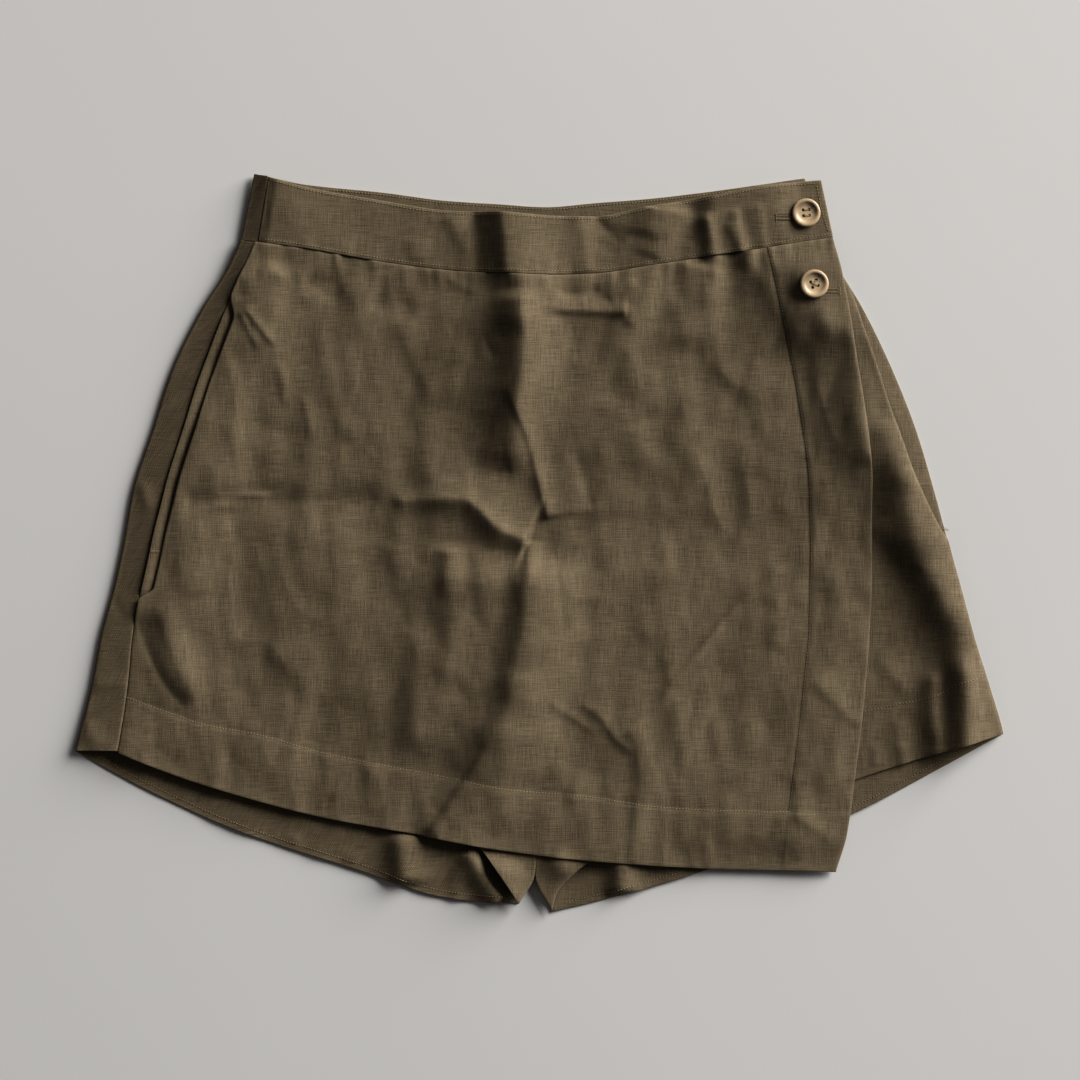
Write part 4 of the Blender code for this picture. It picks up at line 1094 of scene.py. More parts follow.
def linen(name):
    """Plain-woven linen in two close tones."""
    nodes = Nodes(name)
    grain = nodes.add("ShaderNodeAttribute", attribute_name="grain").outputs["Vector"]
    wear = nodes.add("ShaderNodeAttribute", attribute_name="wear").outputs["Fac"]
    warp = nodes.noise(grain, (1 / THREAD, 1 / STREAK, 1.0), 3.0, 0.65)
    weft = nodes.noise(grain, (1 / STREAK, 1 / THREAD, 1.0), 3.0, 0.65)
    specks = nodes.noise(grain, (0.9 / THREAD, 0.9 / THREAD, 1.0), 2.0, 0.6)
    clouds = nodes.noise(grain, (0.05, 0.035, 1.0), 5.0, 0.65)
    warp_slub = nodes.noise(grain, (1.0 / THREAD, 1 / SLUB_LENGTH, 1.0), 0.0)
    weft_slub = nodes.noise(grain, (1 / SLUB_LENGTH, 1.0 / THREAD, 1.0), 0.0)
    slub = nodes.math("ADD", nodes.ramp(warp_slub, 0.86, 0.93), nodes.ramp(weft_slub, 0.84, 0.91))
    threads = nodes.math("ADD", warp, weft)
    tone = nodes.math("MULTIPLY_ADD", threads, 1.05, -1.05)
    tone = nodes.math("MULTIPLY_ADD", specks, 0.85, tone)
    tone = nodes.math("MULTIPLY_ADD", clouds, 0.5, tone)
    tone = nodes.math("MULTIPLY_ADD", wear, 0.15, nodes.math("SUBTRACT", tone, 0.175))
    colour = nodes.mix(nodes.ramp(tone, 0.0, 1.0), LINEN_DARK, LINEN_LIGHT)
    colour = nodes.mix(nodes.math("MULTIPLY", slub, 0.4), colour, SLUB_COLOUR)
    rough = nodes.ramp(threads, 0.6, 1.4, 0.9, 0.8)
    split = nodes.add("ShaderNodeSeparateXYZ", {0: grain})
    turn = math.pi / THREAD
    bend = nodes.math("MULTIPLY", weft, 1.5), nodes.math("MULTIPLY", warp, 1.5)
    over = nodes.math("SINE", nodes.math("MULTIPLY_ADD", split.outputs[0], turn, bend[0]))
    under = nodes.math("SINE", nodes.math("MULTIPLY_ADD", split.outputs[1], turn, bend[1]))
    weave = nodes.math("MULTIPLY", over, under)
    height = nodes.math("MULTIPLY_ADD", weave, 0.25, nodes.math("MULTIPLY", threads, 1.4))
    height = nodes.math("ADD", height, slub)
    nodes.bump(height, 0.6, 0.0003)
    return nodes.surface(
        Base_Color=colour, Roughness=rough, Sheen_Weight=0.03, Sheen_Roughness=0.5,
        Specular_IOR_Level=0.25,
    )


LINEN = linen("linen_olive")
print("threads to the centimetre:", round(10 / THREAD))

# %% [markdown]
# ## The pieces of the shorts
#
# The layers are laid as they lie on the table: back panels first, then the fronts, then the
# skirt panel. The back of the left leg is special. It runs round the left edge and ends on
# top at the side seam, so it is one sheet that turns over like a page.


def declare(piece, node):
    """Attaches a cloth to the root, hides the wall that it stands for, and prints its faces."""
    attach(piece, "root")
    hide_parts(node)
    print(piece.name, len(piece.data.polygons), "faces")
    return piece


# %% Plain panels
FINE = 1.4  # distance between the points of the skirt panel
PLAIN = 2.4
BAND_FINE = 1.3
SEAM_GAP = 0.15  # sewn edges meet: only their rolled edges show a groove
RIGHT_SEAM_TOP = seam_level(SHORTS_RIGHT[1]) - GAP


def seam_line(left, right, over):
    across = left + (right - left) * over
    return np.column_stack([across, seam_level(across) - SEAM_GAP])


def side_line(edge, top, bottom, down):
    levels = top + (bottom - top) * down
    return np.column_stack([edge(levels), levels])


def centre_line(tip, down, shift):
    """Down the centre seam, and on down the inner edge of one leg."""
    return along(CENTRE_SEAM + (tip,), down) + (shift, 0.0)


def panel(name, left, right, hem, top_of, spacing, shift):
    """Lays one panel. Left and right are functions that give a side edge at shares of it."""
    probe = np.linspace(0, 1, 40)
    tall, wide = length_of(left(probe)), length_of(along(hem, probe))
    down, over = stations(tall, spacing), stations(wide, spacing)
    left_edge, right_edge = left(down), right(down)
    waist = seam_line(left_edge[0, 0], right_edge[0, 0], over)
    plan = stretch_grid(waist, along(hem, over), left_edge, right_edge, down, over)
    top = top_of(plan[..., 0], plan[..., 1])
    wear = edge_wear(down, over, tall, wide)
    return cloth_sheet(name, plan, top, CLOTH, wear, LINEN, shift)


BACK_CREASED_BELOW, BACK_CREASED_FADE = -150.0, 20.0  # the backs are uneven at their hems only


def back_relief(across, level):
    """The backs lie on the table, but for their hems, which lift in a few places."""
    shown = ease((BACK_CREASED_BELOW - level) / BACK_CREASED_FADE)
    low = np.maximum(linen_ripple(across, level, 51, 0.5) + 0.3, 0.0)
    return folds_height(BACK_CREASES, across, level) + shown * low


def back_top(across, level):
    return CLOTH + back_relief(across, level)


back_right = panel(
    "cloth_back_right",
    lambda down: centre_line(RIGHT_LEG_TIP, down, GAP / 2),
    lambda down: side_line(right_outline, RIGHT_SEAM_TOP, RIGHT_CORNER_LEVEL, down),
    BACK_RIGHT_HEM, back_top, PLAIN, (500.0, 40.0),
)
declare(back_right, "back_right")

front_left = panel(
    "cloth_front_left",
    lambda down: side_line(left_seam, LEFT_SEAM_TOP, FRONT_LEFT_HEM[0][1], down) + (GAP / 2, 0.0),
    lambda down: centre_line(LEFT_LEG_TIP, down, -GAP / 2),
    FRONT_LEFT_HEM, front_top, PLAIN, (-500.0, 90.0),
)
declare(front_left, "front_left")

front_right = panel(
    "cloth_front_right",
    lambda down: centre_line(RIGHT_LEG_TIP, down, GAP / 2),
    lambda down: side_line(right_front_edge, RIGHT_SEAM_TOP, RIGHT_CORNER_LEVEL, down),
    FRONT_RIGHT_HEM, front_top, PLAIN, (700.0, -300.0),
)
declare(front_right, "front_right")

# %% The skirt panel
def wrap_left_edge(level):
    return left_seam(level) + GAP / 2 + mouth(level)


def wrap_free_edge(level):
    return column(WRAP_EDGE, 1, level)


wrap = panel(
    "cloth_wrap_panel",
    lambda down: side_line(wrap_left_edge, LEFT_SEAM_TOP, WRAP_HEM[0][1], down),
    lambda down: side_line(wrap_free_edge, WRAP_EDGE_TOP, WRAP_HEM[-1][1], down),
    WRAP_HEM, wrap_top, FINE, (0.0, 0.0),
)
declare(wrap, "wrap_panel")

# %% [markdown]
# ## The side that turns over
#
# On the left the back comes round the edge and lies on top as a narrow strip. In section it
# is a hairpin: flat below, a half turn, then a strip that still slopes up from the turn, so
# its outer edge catches less light. The back waistband does the same above it.

# %% A sheet that turns over like a page
TURN_POINTS = 9
STRIP_SPACING = 1.5
STRIP_DROP = 3.0  # how much lower the strip is at the turn than at the seam
STRIP_TUCK = 0.2  # how far its sewn edge dips at the seam
STRIP_SLANT = 0.16  # the waist seam runs down from the corner


def turned_section(outline, seam, thickness, over_low, slant, spacing, low, drop, sharp):
    """Middle line and outward normals of the turn and of the strip, row by row."""
    radius = (over_low - drop - low) / 2
    centre = outline[:, 0] + radius + thickness / 2
    points, normals = [], []
    for turn in np.linspace(-90, -270, TURN_POINTS)[1:]:
        tilt = math.radians(turn)
        level = low + thickness / 2 + radius + radius * math.sin(tilt)
        points.append(np.column_stack([centre + radius * math.cos(tilt), outline[:, 1], level]))
        normals.append((math.cos(tilt), 0.0, math.sin(tilt)))
    steps = max(int((seam - centre).max() / spacing), 3)
    parts = np.linspace(0, 1, steps + 1)[1:]
    if sharp:
        parts = np.append(parts[:-1], (0.985, 1.0))
    for part in parts:
        across = centre + part * (seam - centre)
        tuck = STRIP_TUCK * np.exp(-(((seam - across) / 1.2) ** 2))
        level = over_low - drop + thickness / 2 + drop * part - tuck
        level = level + folds_height(STRIP_CREASES, across, outline[:, 1])
        level = level + linen_ripple(across, outline[:, 1], 61, 0.25)
        slid = outline[:, 1] - slant * (across - outline[:, 0])
        points.append(np.column_stack([across, slid, level]))
        normals.append((0.0, 0.0, 1.0))
    return points, normals


def turned_cloth(
    name, flat, flat_rise, outline, seam, thickness, over_low, slant, down, shift,
    low, drop=STRIP_DROP, sharp=False,
):
    """A closed shell: the cloth's outer and inner face, joined round the edge."""
    points, normals = [], []
    for place in range(flat.shape[1]):
        level = thickness / 2 + flat_rise[:, place]
        points.append(np.column_stack([flat[:, place], level]))
        normals.append((0.0, 0.0, -1.0))
    turned = turned_section(
        outline, seam, thickness, over_low, slant, STRIP_SPACING, low, drop, sharp
    )
    middle = np.stack(points + turned[0], axis=1)
    offset = np.array(normals + turned[1])[None] * thickness / 2
    rows, columns = middle.shape[:2]
    outer, inner = (middle + offset).reshape(-1, 3), (middle - offset).reshape(-1, 3)
    steps = np.linalg.norm(np.diff(middle, axis=1), axis=-1)
    over = np.concatenate([np.zeros((rows, 1)), np.cumsum(steps, axis=1)], axis=1)
    grain = np.dstack([shift[0] - over, middle[..., 1] + shift[1]]).reshape(-1, 2)
    tall = length_of(outline)
    from_edge = np.minimum(down, 1 - down)[:, None] * tall + 0 * over
    wear = np.exp(-((from_edge / WEAR_REACH) ** 2)).ravel()
    rim = rim_of(rows, columns)
    count = rows * columns
    faces = np.concatenate(
        [
            grid_faces(rows, columns),
            grid_faces(rows, columns, count)[:, ::-1],
            ring_faces(rim + count, rim),
        ]
    )
    return make_object(
        name, np.concatenate([outer, inner]), faces, [LINEN],
        np.concatenate([grain, grain]), np.concatenate([wear, wear]),
    )


# %% Back of the left leg
CORNER_LIFT = 2.4  # how far the upper left corner stands off the table
CORNER_START, CORNER_RAMP = 145.0, 45.0
CORNER_REACH = 55.0


def corner_rise(across, level, edge):
    upward = ease((level - CORNER_START) / CORNER_RAMP)
    return CORNER_LIFT * upward * (1 - ease((across - edge) / CORNER_REACH))


def build_back_left():
    top = float(seam_level(WAIST_LEFT[1])) - GAP
    tall = top - LEFT_CORNER_LEVEL
    down = stations(tall, PLAIN)
    outline = side_line(left_outline, top, LEFT_CORNER_LEVEL, down)
    over_low = WRAP_LOW + left_lift(outline[:, 1])
    low = corner_rise(outline[:, 0], outline[:, 1], outline[:, 0])
    flat_end = outline.copy()
    flat_end[:, 0] += (over_low - STRIP_DROP - low + CLOTH) / 2
    inner = centre_line(LEFT_LEG_TIP, down, -GAP / 2)
    wide = length_of(along(BACK_LEFT_HEM, np.linspace(0, 1, 40)))
    over = stations(wide, PLAIN * 1.25)
    waist = seam_line(flat_end[0, 0], inner[0, 0], over)
    flat = stretch_grid(waist, along(BACK_LEFT_HEM, over), flat_end, inner, down, over)[:, ::-1]
    rise = back_relief(flat[..., 0], flat[..., 1])
    rise = rise * ease((flat[..., 0] - flat_end[:, :1]) / 20.0)
    rise = rise + corner_rise(flat[..., 0], flat[..., 1], flat_end[:, :1])
    seam = left_seam(outline[:, 1]) - GAP / 2
    slant = STRIP_SLANT * ease(1 - (top - outline[:, 1]) / 30.0)
    return turned_cloth(
        "cloth_back_left", flat, rise, outline, seam, CLOTH, over_low, slant, down,
        (-900.0, 15.0), low,
    )


back_left = build_back_left()
declare(back_left, "back_left")

# %% [markdown]
# ## Waistbands
#
# Each band is a long strip, stiffened inside. The front ones lie on each other and the back
# one peeps out above them. Their lower edge is the seam, where the panels hang.

# %% Plan of a band
def band_plan(top_ends, seam_ends, top_column, down, over):
    upper = top_ends[0] + (top_ends[1] - top_ends[0]) * over
    lower = seam_ends[0] + (seam_ends[1] - seam_ends[0]) * over
    top_level = column(WAIST_EDGES, top_column, upper)
    down = down[:, None]
    across = upper + down * (lower - upper)
    return np.dstack([across, top_level + down * (seam_level(lower) - top_level)])


def front_band(name, right_ends, top_column, top_of, spacing, shift):
    left_ends = [
        end + turnover + GAP / 2 for end, turnover in zip(WAIST_LEFT, BAND_TURNOVER)
    ]
    wide, tall = right_ends[0] - left_ends[0], BAND_TALL
    down, over = stations(tall, spacing), stations(wide, spacing)
    plan = band_plan(
        (left_ends[0], right_ends[0]), (left_ends[1], right_ends[1]), top_column, down, over
    )
    wear = edge_wear(down, over, tall, wide) * ease(over[None] * wide / 9.0)
    top = top_of(plan[..., 0], plan[..., 1])
    return cloth_sheet(name, plan, top, BAND_CLOTH, wear, LINEN, shift)


def under_band_top(across, level):
    return BAND_STEP + BAND_CLOTH + under_band_rise(across, level)


band_under = front_band(
    "cloth_band_under", SHORTS_RIGHT, UNDER_TOP, under_band_top, PLAIN, (0.0, 800.0)
)
declare(band_under, "waistband_under")
band_wrap = front_band(
    "cloth_band_wrap", WRAP_RIGHT, WRAP_TOP, band_top, BAND_FINE, (60.0, 600.0)
)
declare(band_wrap, "waistband_wrap")


# %% The back band, which turns over too
BAND_DROP = 3.6  # how much lower its strip is at the turn than at the seam


def build_band_back():
    wide = SHORTS_RIGHT[0] - WAIST_LEFT[0]
    down, over = stations(BAND_TALL, BAND_FINE), stations(wide, PLAIN)
    ends = (WAIST_LEFT[0], SHORTS_RIGHT[0]), (WAIST_LEFT[1], SHORTS_RIGHT[1])
    plan = band_plan(ends[0], ends[1], BACK_TOP, down, over)
    outline = plan[:, 0].copy()
    over_low = WRAP_BAND_LOW + left_lift(outline[:, 1]) - BAND_ROLL
    low = corner_rise(outline[:, 0], outline[:, 1], outline[:, 0])
    plan[:, 0, 0] += (over_low - BAND_DROP - low + BAND_CLOTH) / 2
    turnover = BAND_TURNOVER[0] + (BAND_TURNOVER[1] - BAND_TURNOVER[0]) * down
    seam = outline[:, 0] + turnover - GAP / 2
    flat = plan[:, ::-1]
    rise = corner_rise(flat[..., 0], flat[..., 1], plan[:, :1, 0])
    slant = np.full(len(outline), STRIP_SLANT)
    return turned_cloth(
        "cloth_band_back", flat, rise, outline, seam, BAND_CLOTH, over_low, slant, down,
        (200.0, 900.0), low, BAND_DROP, True,
    )


band_back = build_band_back()
declare(band_back, "waistband_back")

# %% [markdown]
# ## Pocket facings
#
# A side pocket shows only a strip of the cloth that lies inside its mouth.

# %% Facings in the two mouths
FACING_LIFT, FACING_LIFT_REACH = 2.3, 10.0
FACING_SLOPE, FACING_SLOPE_WIDTH = 1.9, 11.0


def facing(name, left_edge, right_edge, top, bottom, height, shift):
    down = stations(top - bottom, PLAIN)
    levels = top + (bottom - top) * down
    left, right = left_edge(levels), right_edge(levels)
    wide = float((right - left).max())
    over = stations(wide, PLAIN)
    across = left[:, None] + over[None] * (right - left)[:, None]
    plan = np.dstack([across, np.broadcast_to(levels[:, None], across.shape)])
    wear = np.zeros(across.shape)
    high = height(plan[..., 0], plan[..., 1]) + POCKET_CLOTH
    return cloth_sheet(name, plan, high, POCKET_CLOTH, wear, LINEN, shift)


def facing_lift(across, level):
    """The facing comes up to the side seam, where it is sewn in."""
    open_part = mouth(level) / LEFT_MOUTH_WIDTH
    inward = ease((across - left_seam(level)) / FACING_LIFT_REACH)
    return FACING_LIFT * open_part * (1 - inward)


def right_facing_low(across, level):
    """The right facing slopes down to the outline, towards the light."""
    share = (right_outline(level) - across) / FACING_SLOPE_WIDTH
    return PANEL_STEP + FACING_SLOPE * np.clip(share, 0.0, 1.0)


def left_facing_low(across, level):
    rise = front_rise(across, level) + facing_lift(across, level)
    return FRONT_LOW + PANEL_STEP + rise


def left_facing_top(across, level):
    return left_facing_low(across, level) + POCKET_CLOTH


pocket_left = facing(
    "cloth_pocket_left",
    lambda level: left_seam(level) + GAP,
    lambda level: left_seam(level) + GAP + mouth(level) + POCKET_REACH,
    LEFT_MOUTH_TOP, LEFT_MOUTH_BOTTOM,
    left_facing_low,
    (-700.0, -500.0),
)
declare(pocket_left, "pocket_left")
pocket_right = facing(
    "cloth_pocket_right",
    lambda level: right_front_edge(level) - POCKET_REACH,
    lambda level: right_outline(level) - GAP,
    RIGHT_FACING_TOP, RIGHT_FACING_BOTTOM,
    right_facing_low,
    (900.0, -600.0),
)
declare(pocket_right, "pocket_right")

# %% [markdown]
# ## Stitching
#
# A row of machine stitches is one small bead of thread after another. Each dives into the
# cloth at both ends and leaves a needle hole there, drawn as a small dark disc of painted
# shade. One bead is shaped once, then copied along the row with its own tilt, and a whole
# row becomes a single mesh.

# %% One stitch, and a row of them
STITCH_PITCH = 2.0
STITCH_LENGTH = 1.55
THREAD_RADIUS = 0.25
STITCH_RINGS = 7
STITCH_SIDES = 6
HOLE_SIZE = 0.26


def thread_material(name, low, high):
    nodes = Nodes(name)
    place = nodes.add("ShaderNodeTexCoord").outputs["Object"]
    tone = nodes.noise(place, (900.0, 900.0, 900.0))
    nodes.bump(tone, 0.4, 0.0001)
    rough = nodes.ramp(tone, 0.0, 1.0, 0.75, 0.6)
    return nodes.surface(Base_Color=nodes.mix(tone, low, high), Roughness=rough)


# A needle hole is not cut: its dark colour is painted shade, the shade inside the hole.
def hole_shade_material():
    nodes = Nodes("needle_hole_shade")
    place = nodes.add("ShaderNodeTexCoord").outputs["Object"]
    tone = nodes.noise(place, (1500.0, 1500.0, 1500.0))
    colour = nodes.mix(tone, (0.016, 0.012, 0.007, 1), (0.04, 0.03, 0.017, 1))
    return nodes.surface(Base_Color=colour, Roughness=0.95)


THREAD_FINISHES = [
    thread_material("thread_olive", (0.17, 0.135, 0.08, 1), (0.32, 0.26, 0.17, 1)),
    hole_shade_material(),
]
DARK_THREAD = thread_material("thread_dark", (0.075, 0.058, 0.033, 1), (0.15, 0.12, 0.072, 1))
PALE_THREAD = thread_material("thread_pale", (0.28, 0.22, 0.15, 1), (0.42, 0.34, 0.24, 1))


def bead():
    """Points and faces of a stitch of length 2 along X, thick in the middle."""
    shares = np.sin(np.linspace(-math.pi / 2, math.pi / 2, STITCH_RINGS))
    turns = np.arange(STITCH_SIDES) * math.tau / STITCH_SIDES
    size = THREAD_RADIUS * np.sqrt(np.maximum(1 - shares**4, 0.02))
    lift = 0.3 * (1 - shares**2) - 0.12
    points = [
        (share, radius * math.cos(turn), high + 0.8 * radius * math.sin(turn))
        for share, radius, high in zip(shares, size, lift)
        for turn in turns
    ]
    index = np.arange(STITCH_RINGS * STITCH_SIDES).reshape(STITCH_RINGS, STITCH_SIDES)
    faces = []
    for ring in range(STITCH_RINGS - 1):
        for side in range(STITCH_SIDES):
            ahead = (side + 1) % STITCH_SIDES
            near, far = index[ring], index[ring + 1]
            faces.append((near[side], near[ahead], far[ahead], far[side]))
    return np.array(points), np.array(faces)


def stitch_row(name, path, top_of, seed, finishes):
    """Stitches along a path on the cloth whose upper side is given."""
    whole = length_of(along(path, np.linspace(0, 1, 200)))
    count = max(int(whole / STITCH_PITCH), 1)
    random = np.random.default_rng(seed)
    middles = (np.arange(count) + 0.5) / count
    half = 0.5 * STITCH_LENGTH / whole * random.uniform(0.9, 1.08, count)
    start, end = along(path, middles - half), along(path, middles + half)
    start = np.column_stack([start, top_of(start[:, 0], start[:, 1])])
    end = np.column_stack([end, top_of(end[:, 0], end[:, 1])])
    centre, reach = (start + end) / 2, (end - start) / 2
    sideways = np.column_stack([-reach[:, 1], reach[:, 0]])
    sideways = sideways / np.hypot(*sideways.T)[:, None]
    points, faces = bead()
    body = centre[:, None] + points[None, :, :1] * reach[:, None]
    body[..., :2] += points[None, :, 1:2] * sideways[:, None]
    body[..., 2] += points[None, :, 2]
    turns = np.arange(STITCH_SIDES) * math.tau / STITCH_SIDES
    disc = np.column_stack([np.cos(turns), np.sin(turns), np.zeros(STITCH_SIDES)]) * HOLE_SIZE
    # Small dark discs at the stitch ends: painted shade for the needle holes.
    hole_shades = (end + reach * 0.16)[:, None] + disc[None] + (0.0, 0.0, 0.04)
    every = np.concatenate([body.reshape(-1, 3), hole_shades.reshape(-1, 3)])
    body_faces = (faces[None] + len(points) * np.arange(count)[:, None, None]).reshape(-1, 4)
    first_hole_shade = count * len(points)
    hole_shade_faces = first_hole_shade + np.arange(count * STITCH_SIDES).reshape(count, STITCH_SIDES)
    made = make_object(name, every, [], finishes)
    mesh = made.data
    mesh.clear_geometry()
    mesh.from_pydata((every * METRES).tolist(), [], body_faces.tolist() + hole_shade_faces.tolist())
    mesh.shade_smooth()
    kinds = np.concatenate([np.zeros(len(body_faces), int), np.ones(len(hole_shade_faces), int)])
    mesh.polygons.foreach_set("material_index", kinds.astype(np.int32))
    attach(made, "root")


def shifted(path, distance):
    """The same path, moved towards its left hand."""
    line = along(path, np.linspace(0, 1, 14))
    runs = np.gradient(line, axis=0)
    sideways = np.column_stack([-runs[:, 1], runs[:, 0]]) / np.hypot(*runs.T)[:, None]
    return line + distance * sideways


# %% Rows of stitching
HEM_INSET = 4.0


def hem_row(hem, start, end):
    """A path just inside part of a hem, from one share of its length to another."""
    return shifted(along(hem, np.linspace(start, end, 14)), HEM_INSET)


def band_row(left, right, column_number, above):
    across = np.linspace(left, right, 16)
    level = column(WAIST_EDGES, column_number, across) + above
    return np.column_stack([across, level])


def back_band_top(across, level):
    return BAND_CLOTH + 0 * across


FRONT_HEM_ROW = ((208, -108), (231, -103), (250, -99), (271, -89), (286, -84.5))
STITCH_ROWS = (
    # name, path, upper side of the cloth, seed of the unevenness
    ("wrap_hem", WRAP_HEM_ROW[:-1], wrap_top, 1),
    ("placket", PLACKET_ROW, wrap_top, 2),
    ("band_seam", band_row(-176, 186, SEAM, 2.2), band_top, 3),
    ("hem_left", hem_row(BACK_LEFT_HEM, 0.06, 0.98), back_top, 4),
    ("hem_right", hem_row(BACK_RIGHT_HEM, 0.03, 0.97), back_top, 5),
    ("band_top", band_row(-170, 177, WRAP_TOP, -1.9), band_top, 8),
    ("band_end", ((177.6, 229.0), (180.6, 214.0), (185.0, 199.5)), band_top, 9),
    ("front_hem", FRONT_HEM_ROW, front_top, 6),
    ("back_band", band_row(-172, 166, BACK_TOP, -1.6), back_band_top, 7),
)
for name, path, top_of, seed in STITCH_ROWS:
    thread = DARK_THREAD if name == "placket" else THREAD_FINISHES[0]
    stitch_row("stitches_" + name, path, top_of, seed, [thread, THREAD_FINISHES[1]])
print("rows of stitching:", len(STITCH_ROWS))

# %% [markdown]
# ## Buttons
#
# Two buttons of pale horn with four holes hold the wrap. A button is turned on a lathe, so
# one half section spun round its axis gives its dished middle and rounded rim. The holes
# are drilled with a boolean, and thread fills them.

# %% Turned and drilled
BUTTON_SECTION = (
    # radius, height, as shares of the button's radius and of its thickness
    (0.00, 0.60),
    (0.30, 0.60),
    (0.46, 0.63),
    (0.58, 0.70),
    (0.66, 0.82),
    (0.74, 0.94),
    (0.82, 1.00),
    (0.90, 0.98),
    (0.96, 0.88),
    (1.00, 0.66),
    (0.985, 0.40),
    (0.93, 0.18),
    (0.80, 0.03),
    (0.60, 0.00),
    (0.00, 0.00),
)
BUTTON_SIDES = 96
HOLE_RADIUS = 0.95
HOLE_OFFSET = 1.85
BUTTON_TURN = {"button_top": 4.0, "button_bottom": 20.0}


def horn_material(name, turn):
    """Cream horn, smoke-streaked and darkened by painted shade on one side, with a fainter patch
    on the other.
    """
    nodes = Nodes(name)
    place = nodes.add("ShaderNodeTexCoord").outputs["Object"]
    turned = {"Vector": place, "Rotation": (0.0, 0.0, math.radians(turn))}
    spot = nodes.add("ShaderNodeMapping", turned).outputs[0]
    streaks = nodes.noise(spot, (900.0, 160.0, 300.0), 5.0, 0.65)
    clouds = nodes.noise(spot, (190.0, 150.0, 150.0), 2.0, 0.5)
    split = nodes.add("ShaderNodeSeparateXYZ", {0: spot})
    reach = nodes.add("ShaderNodeVectorMath", {0: place}, operation="LENGTH").outputs["Value"]
    streaky = nodes.math("MULTIPLY", streaks, 0.9)
    # Darker towards one side: smoke in the horn, and painted shade on the dish's inner wall there,
    # which faces away from the light.
    smoke_and_shade = nodes.math("MULTIPLY_ADD", split.outputs[1], 130.0, streaky)
    smoke_and_shade = nodes.ramp(smoke_and_shade, 0.72, 1.25)
    cloudy = nodes.math("MULTIPLY", clouds, 0.8)
    patch = nodes.math("MULTIPLY_ADD", split.outputs[0], -120.0, cloudy)
    patch = nodes.math("MULTIPLY", nodes.ramp(patch, 0.6, 1.1), 0.55)
    radius = BUTTON_RADIUS * METRES
    inside = nodes.ramp(reach, 0.80 * radius, 0.90 * radius, 1.0, 0.25)
    shade = nodes.math("MULTIPLY", nodes.math("MAXIMUM", smoke_and_shade, patch), inside)
    pale = nodes.mix(streaks, (0.34, 0.25, 0.155, 1), (0.60, 0.49, 0.345, 1))
    nodes.bump(streaks, 0.12, 0.0001)
    return nodes.surface(
        Base_Color=nodes.mix(shade, pale, (0.085, 0.062, 0.048, 1)),
        Roughness=nodes.ramp(streaks, 0.3, 0.7, 0.32, 0.46),
        Subsurface_Weight=0.1, Subsurface_Scale=0.002, Coat_Weight=0.15, Coat_Roughness=0.25,
    )


def turned_body(name, section, sides, finish):
    """A solid of revolution. The section starts and ends on the axis."""
    shape = bmesh.new()
    rings = []
    for radius, height in section:
        if radius == 0:
            rings.append([shape.verts.new((0.0, 0.0, height * METRES))])
            continue
        ring = []
        for turn in np.arange(sides) * math.tau / sides:
            spot = (radius * math.cos(turn), radius * math.sin(turn), height)
            ring.append(shape.verts.new([value * METRES for value in spot]))
        rings.append(ring)
    for upper, lower in zip(rings, rings[1:]):
        for side in range(sides):
            ahead = (side + 1) % sides
            corners = [upper[side % len(upper)], lower[side % len(lower)]]
            corners += [lower[ahead % len(lower)], upper[ahead % len(upper)]]
            shape.faces.new(list(dict.fromkeys(corners)))
    bmesh.ops.recalc_face_normals(shape, faces=shape.faces)
    mesh = bpy.data.meshes.new(name)
    shape.to_mesh(mesh)
    shape.free()
    mesh.materials.append(finish)
    made = bpy.data.objects.new(name, mesh)
    bpy.context.scene.collection.objects.link(made)
    return made


def drill(body, places):
    """Cuts round holes and keeps only the result."""
    reach = BUTTON_THICKNESS + 1.0
    section = ((0.0, reach), (HOLE_RADIUS, reach), (HOLE_RADIUS, -1.0), (0.0, -1.0))
    cutters = []
    for number, (across, level) in enumerate(places):
        cutter = turned_body(f"drill_{number}", section, 24, body.data.materials[0])
        cutter.location = (across * METRES, level * METRES, 0.0)
        cut = body.modifiers.new(cutter.name, "BOOLEAN")
        cut.operation = "DIFFERENCE"
        cut.object = cutter
        cutters.append(cutter)
    bpy.context.view_layer.update()
    graph = bpy.context.evaluated_depsgraph_get()
    drilled = bpy.data.meshes.new_from_object(body.evaluated_get(graph))
    body.modifiers.clear()
    body.data = drilled
    for cutter in cutters:
        bpy.data.objects.remove(cutter)
    drilled.shade_smooth()
    drilled.set_sharp_from_angle(angle=math.radians(50))


def tubes(name, paths, radius, finishes, sides=8):
    """Round strands along paths of points, as one mesh."""
    points, faces = [], []
    for path in paths:
        line = np.asarray(path, float)
        runs = np.gradient(line, axis=0)
        runs = runs / np.linalg.norm(runs, axis=1)[:, None]
        sideways = np.cross(runs, (0.0, 0.0, 1.0))
        sideways = sideways / np.maximum(np.linalg.norm(sideways, axis=1)[:, None], 1e-6)
        upward = np.cross(sideways, runs)
        first = len(points)
        for spot, side, up in zip(line, sideways, upward):
            for turn in np.arange(sides) * math.tau / sides:
                points.append(spot + radius * (math.cos(turn) * side + math.sin(turn) * up))
        for ring in range(len(line) - 1):
            for side in range(sides):
                ahead = (side + 1) % sides
                near, far = first + ring * sides, first + (ring + 1) * sides
                faces.append((near + side, near + ahead, far + ahead, far + side))
    return make_object(name, points, faces, finishes)


# %% Buttonholes and bar tacks
STRAND_PITCH = 0.75
STRAND_RADIUS = 0.2
SLIT_HALF, BUTTONHOLE_HALF = 0.3, 1.6  # half widths of the slit and of the whole buttonhole


def strand(start, end, top_of):
    """A short arched stitch between two places on the cloth."""
    share = np.linspace(0, 1, 6)[:, None]
    line = (1 - share) * np.array(start) + share * np.array(end)
    high = top_of(line[:, 0], line[:, 1]) + 0.25 * np.sin(math.pi * share[:, 0])
    return np.column_stack([line, high])


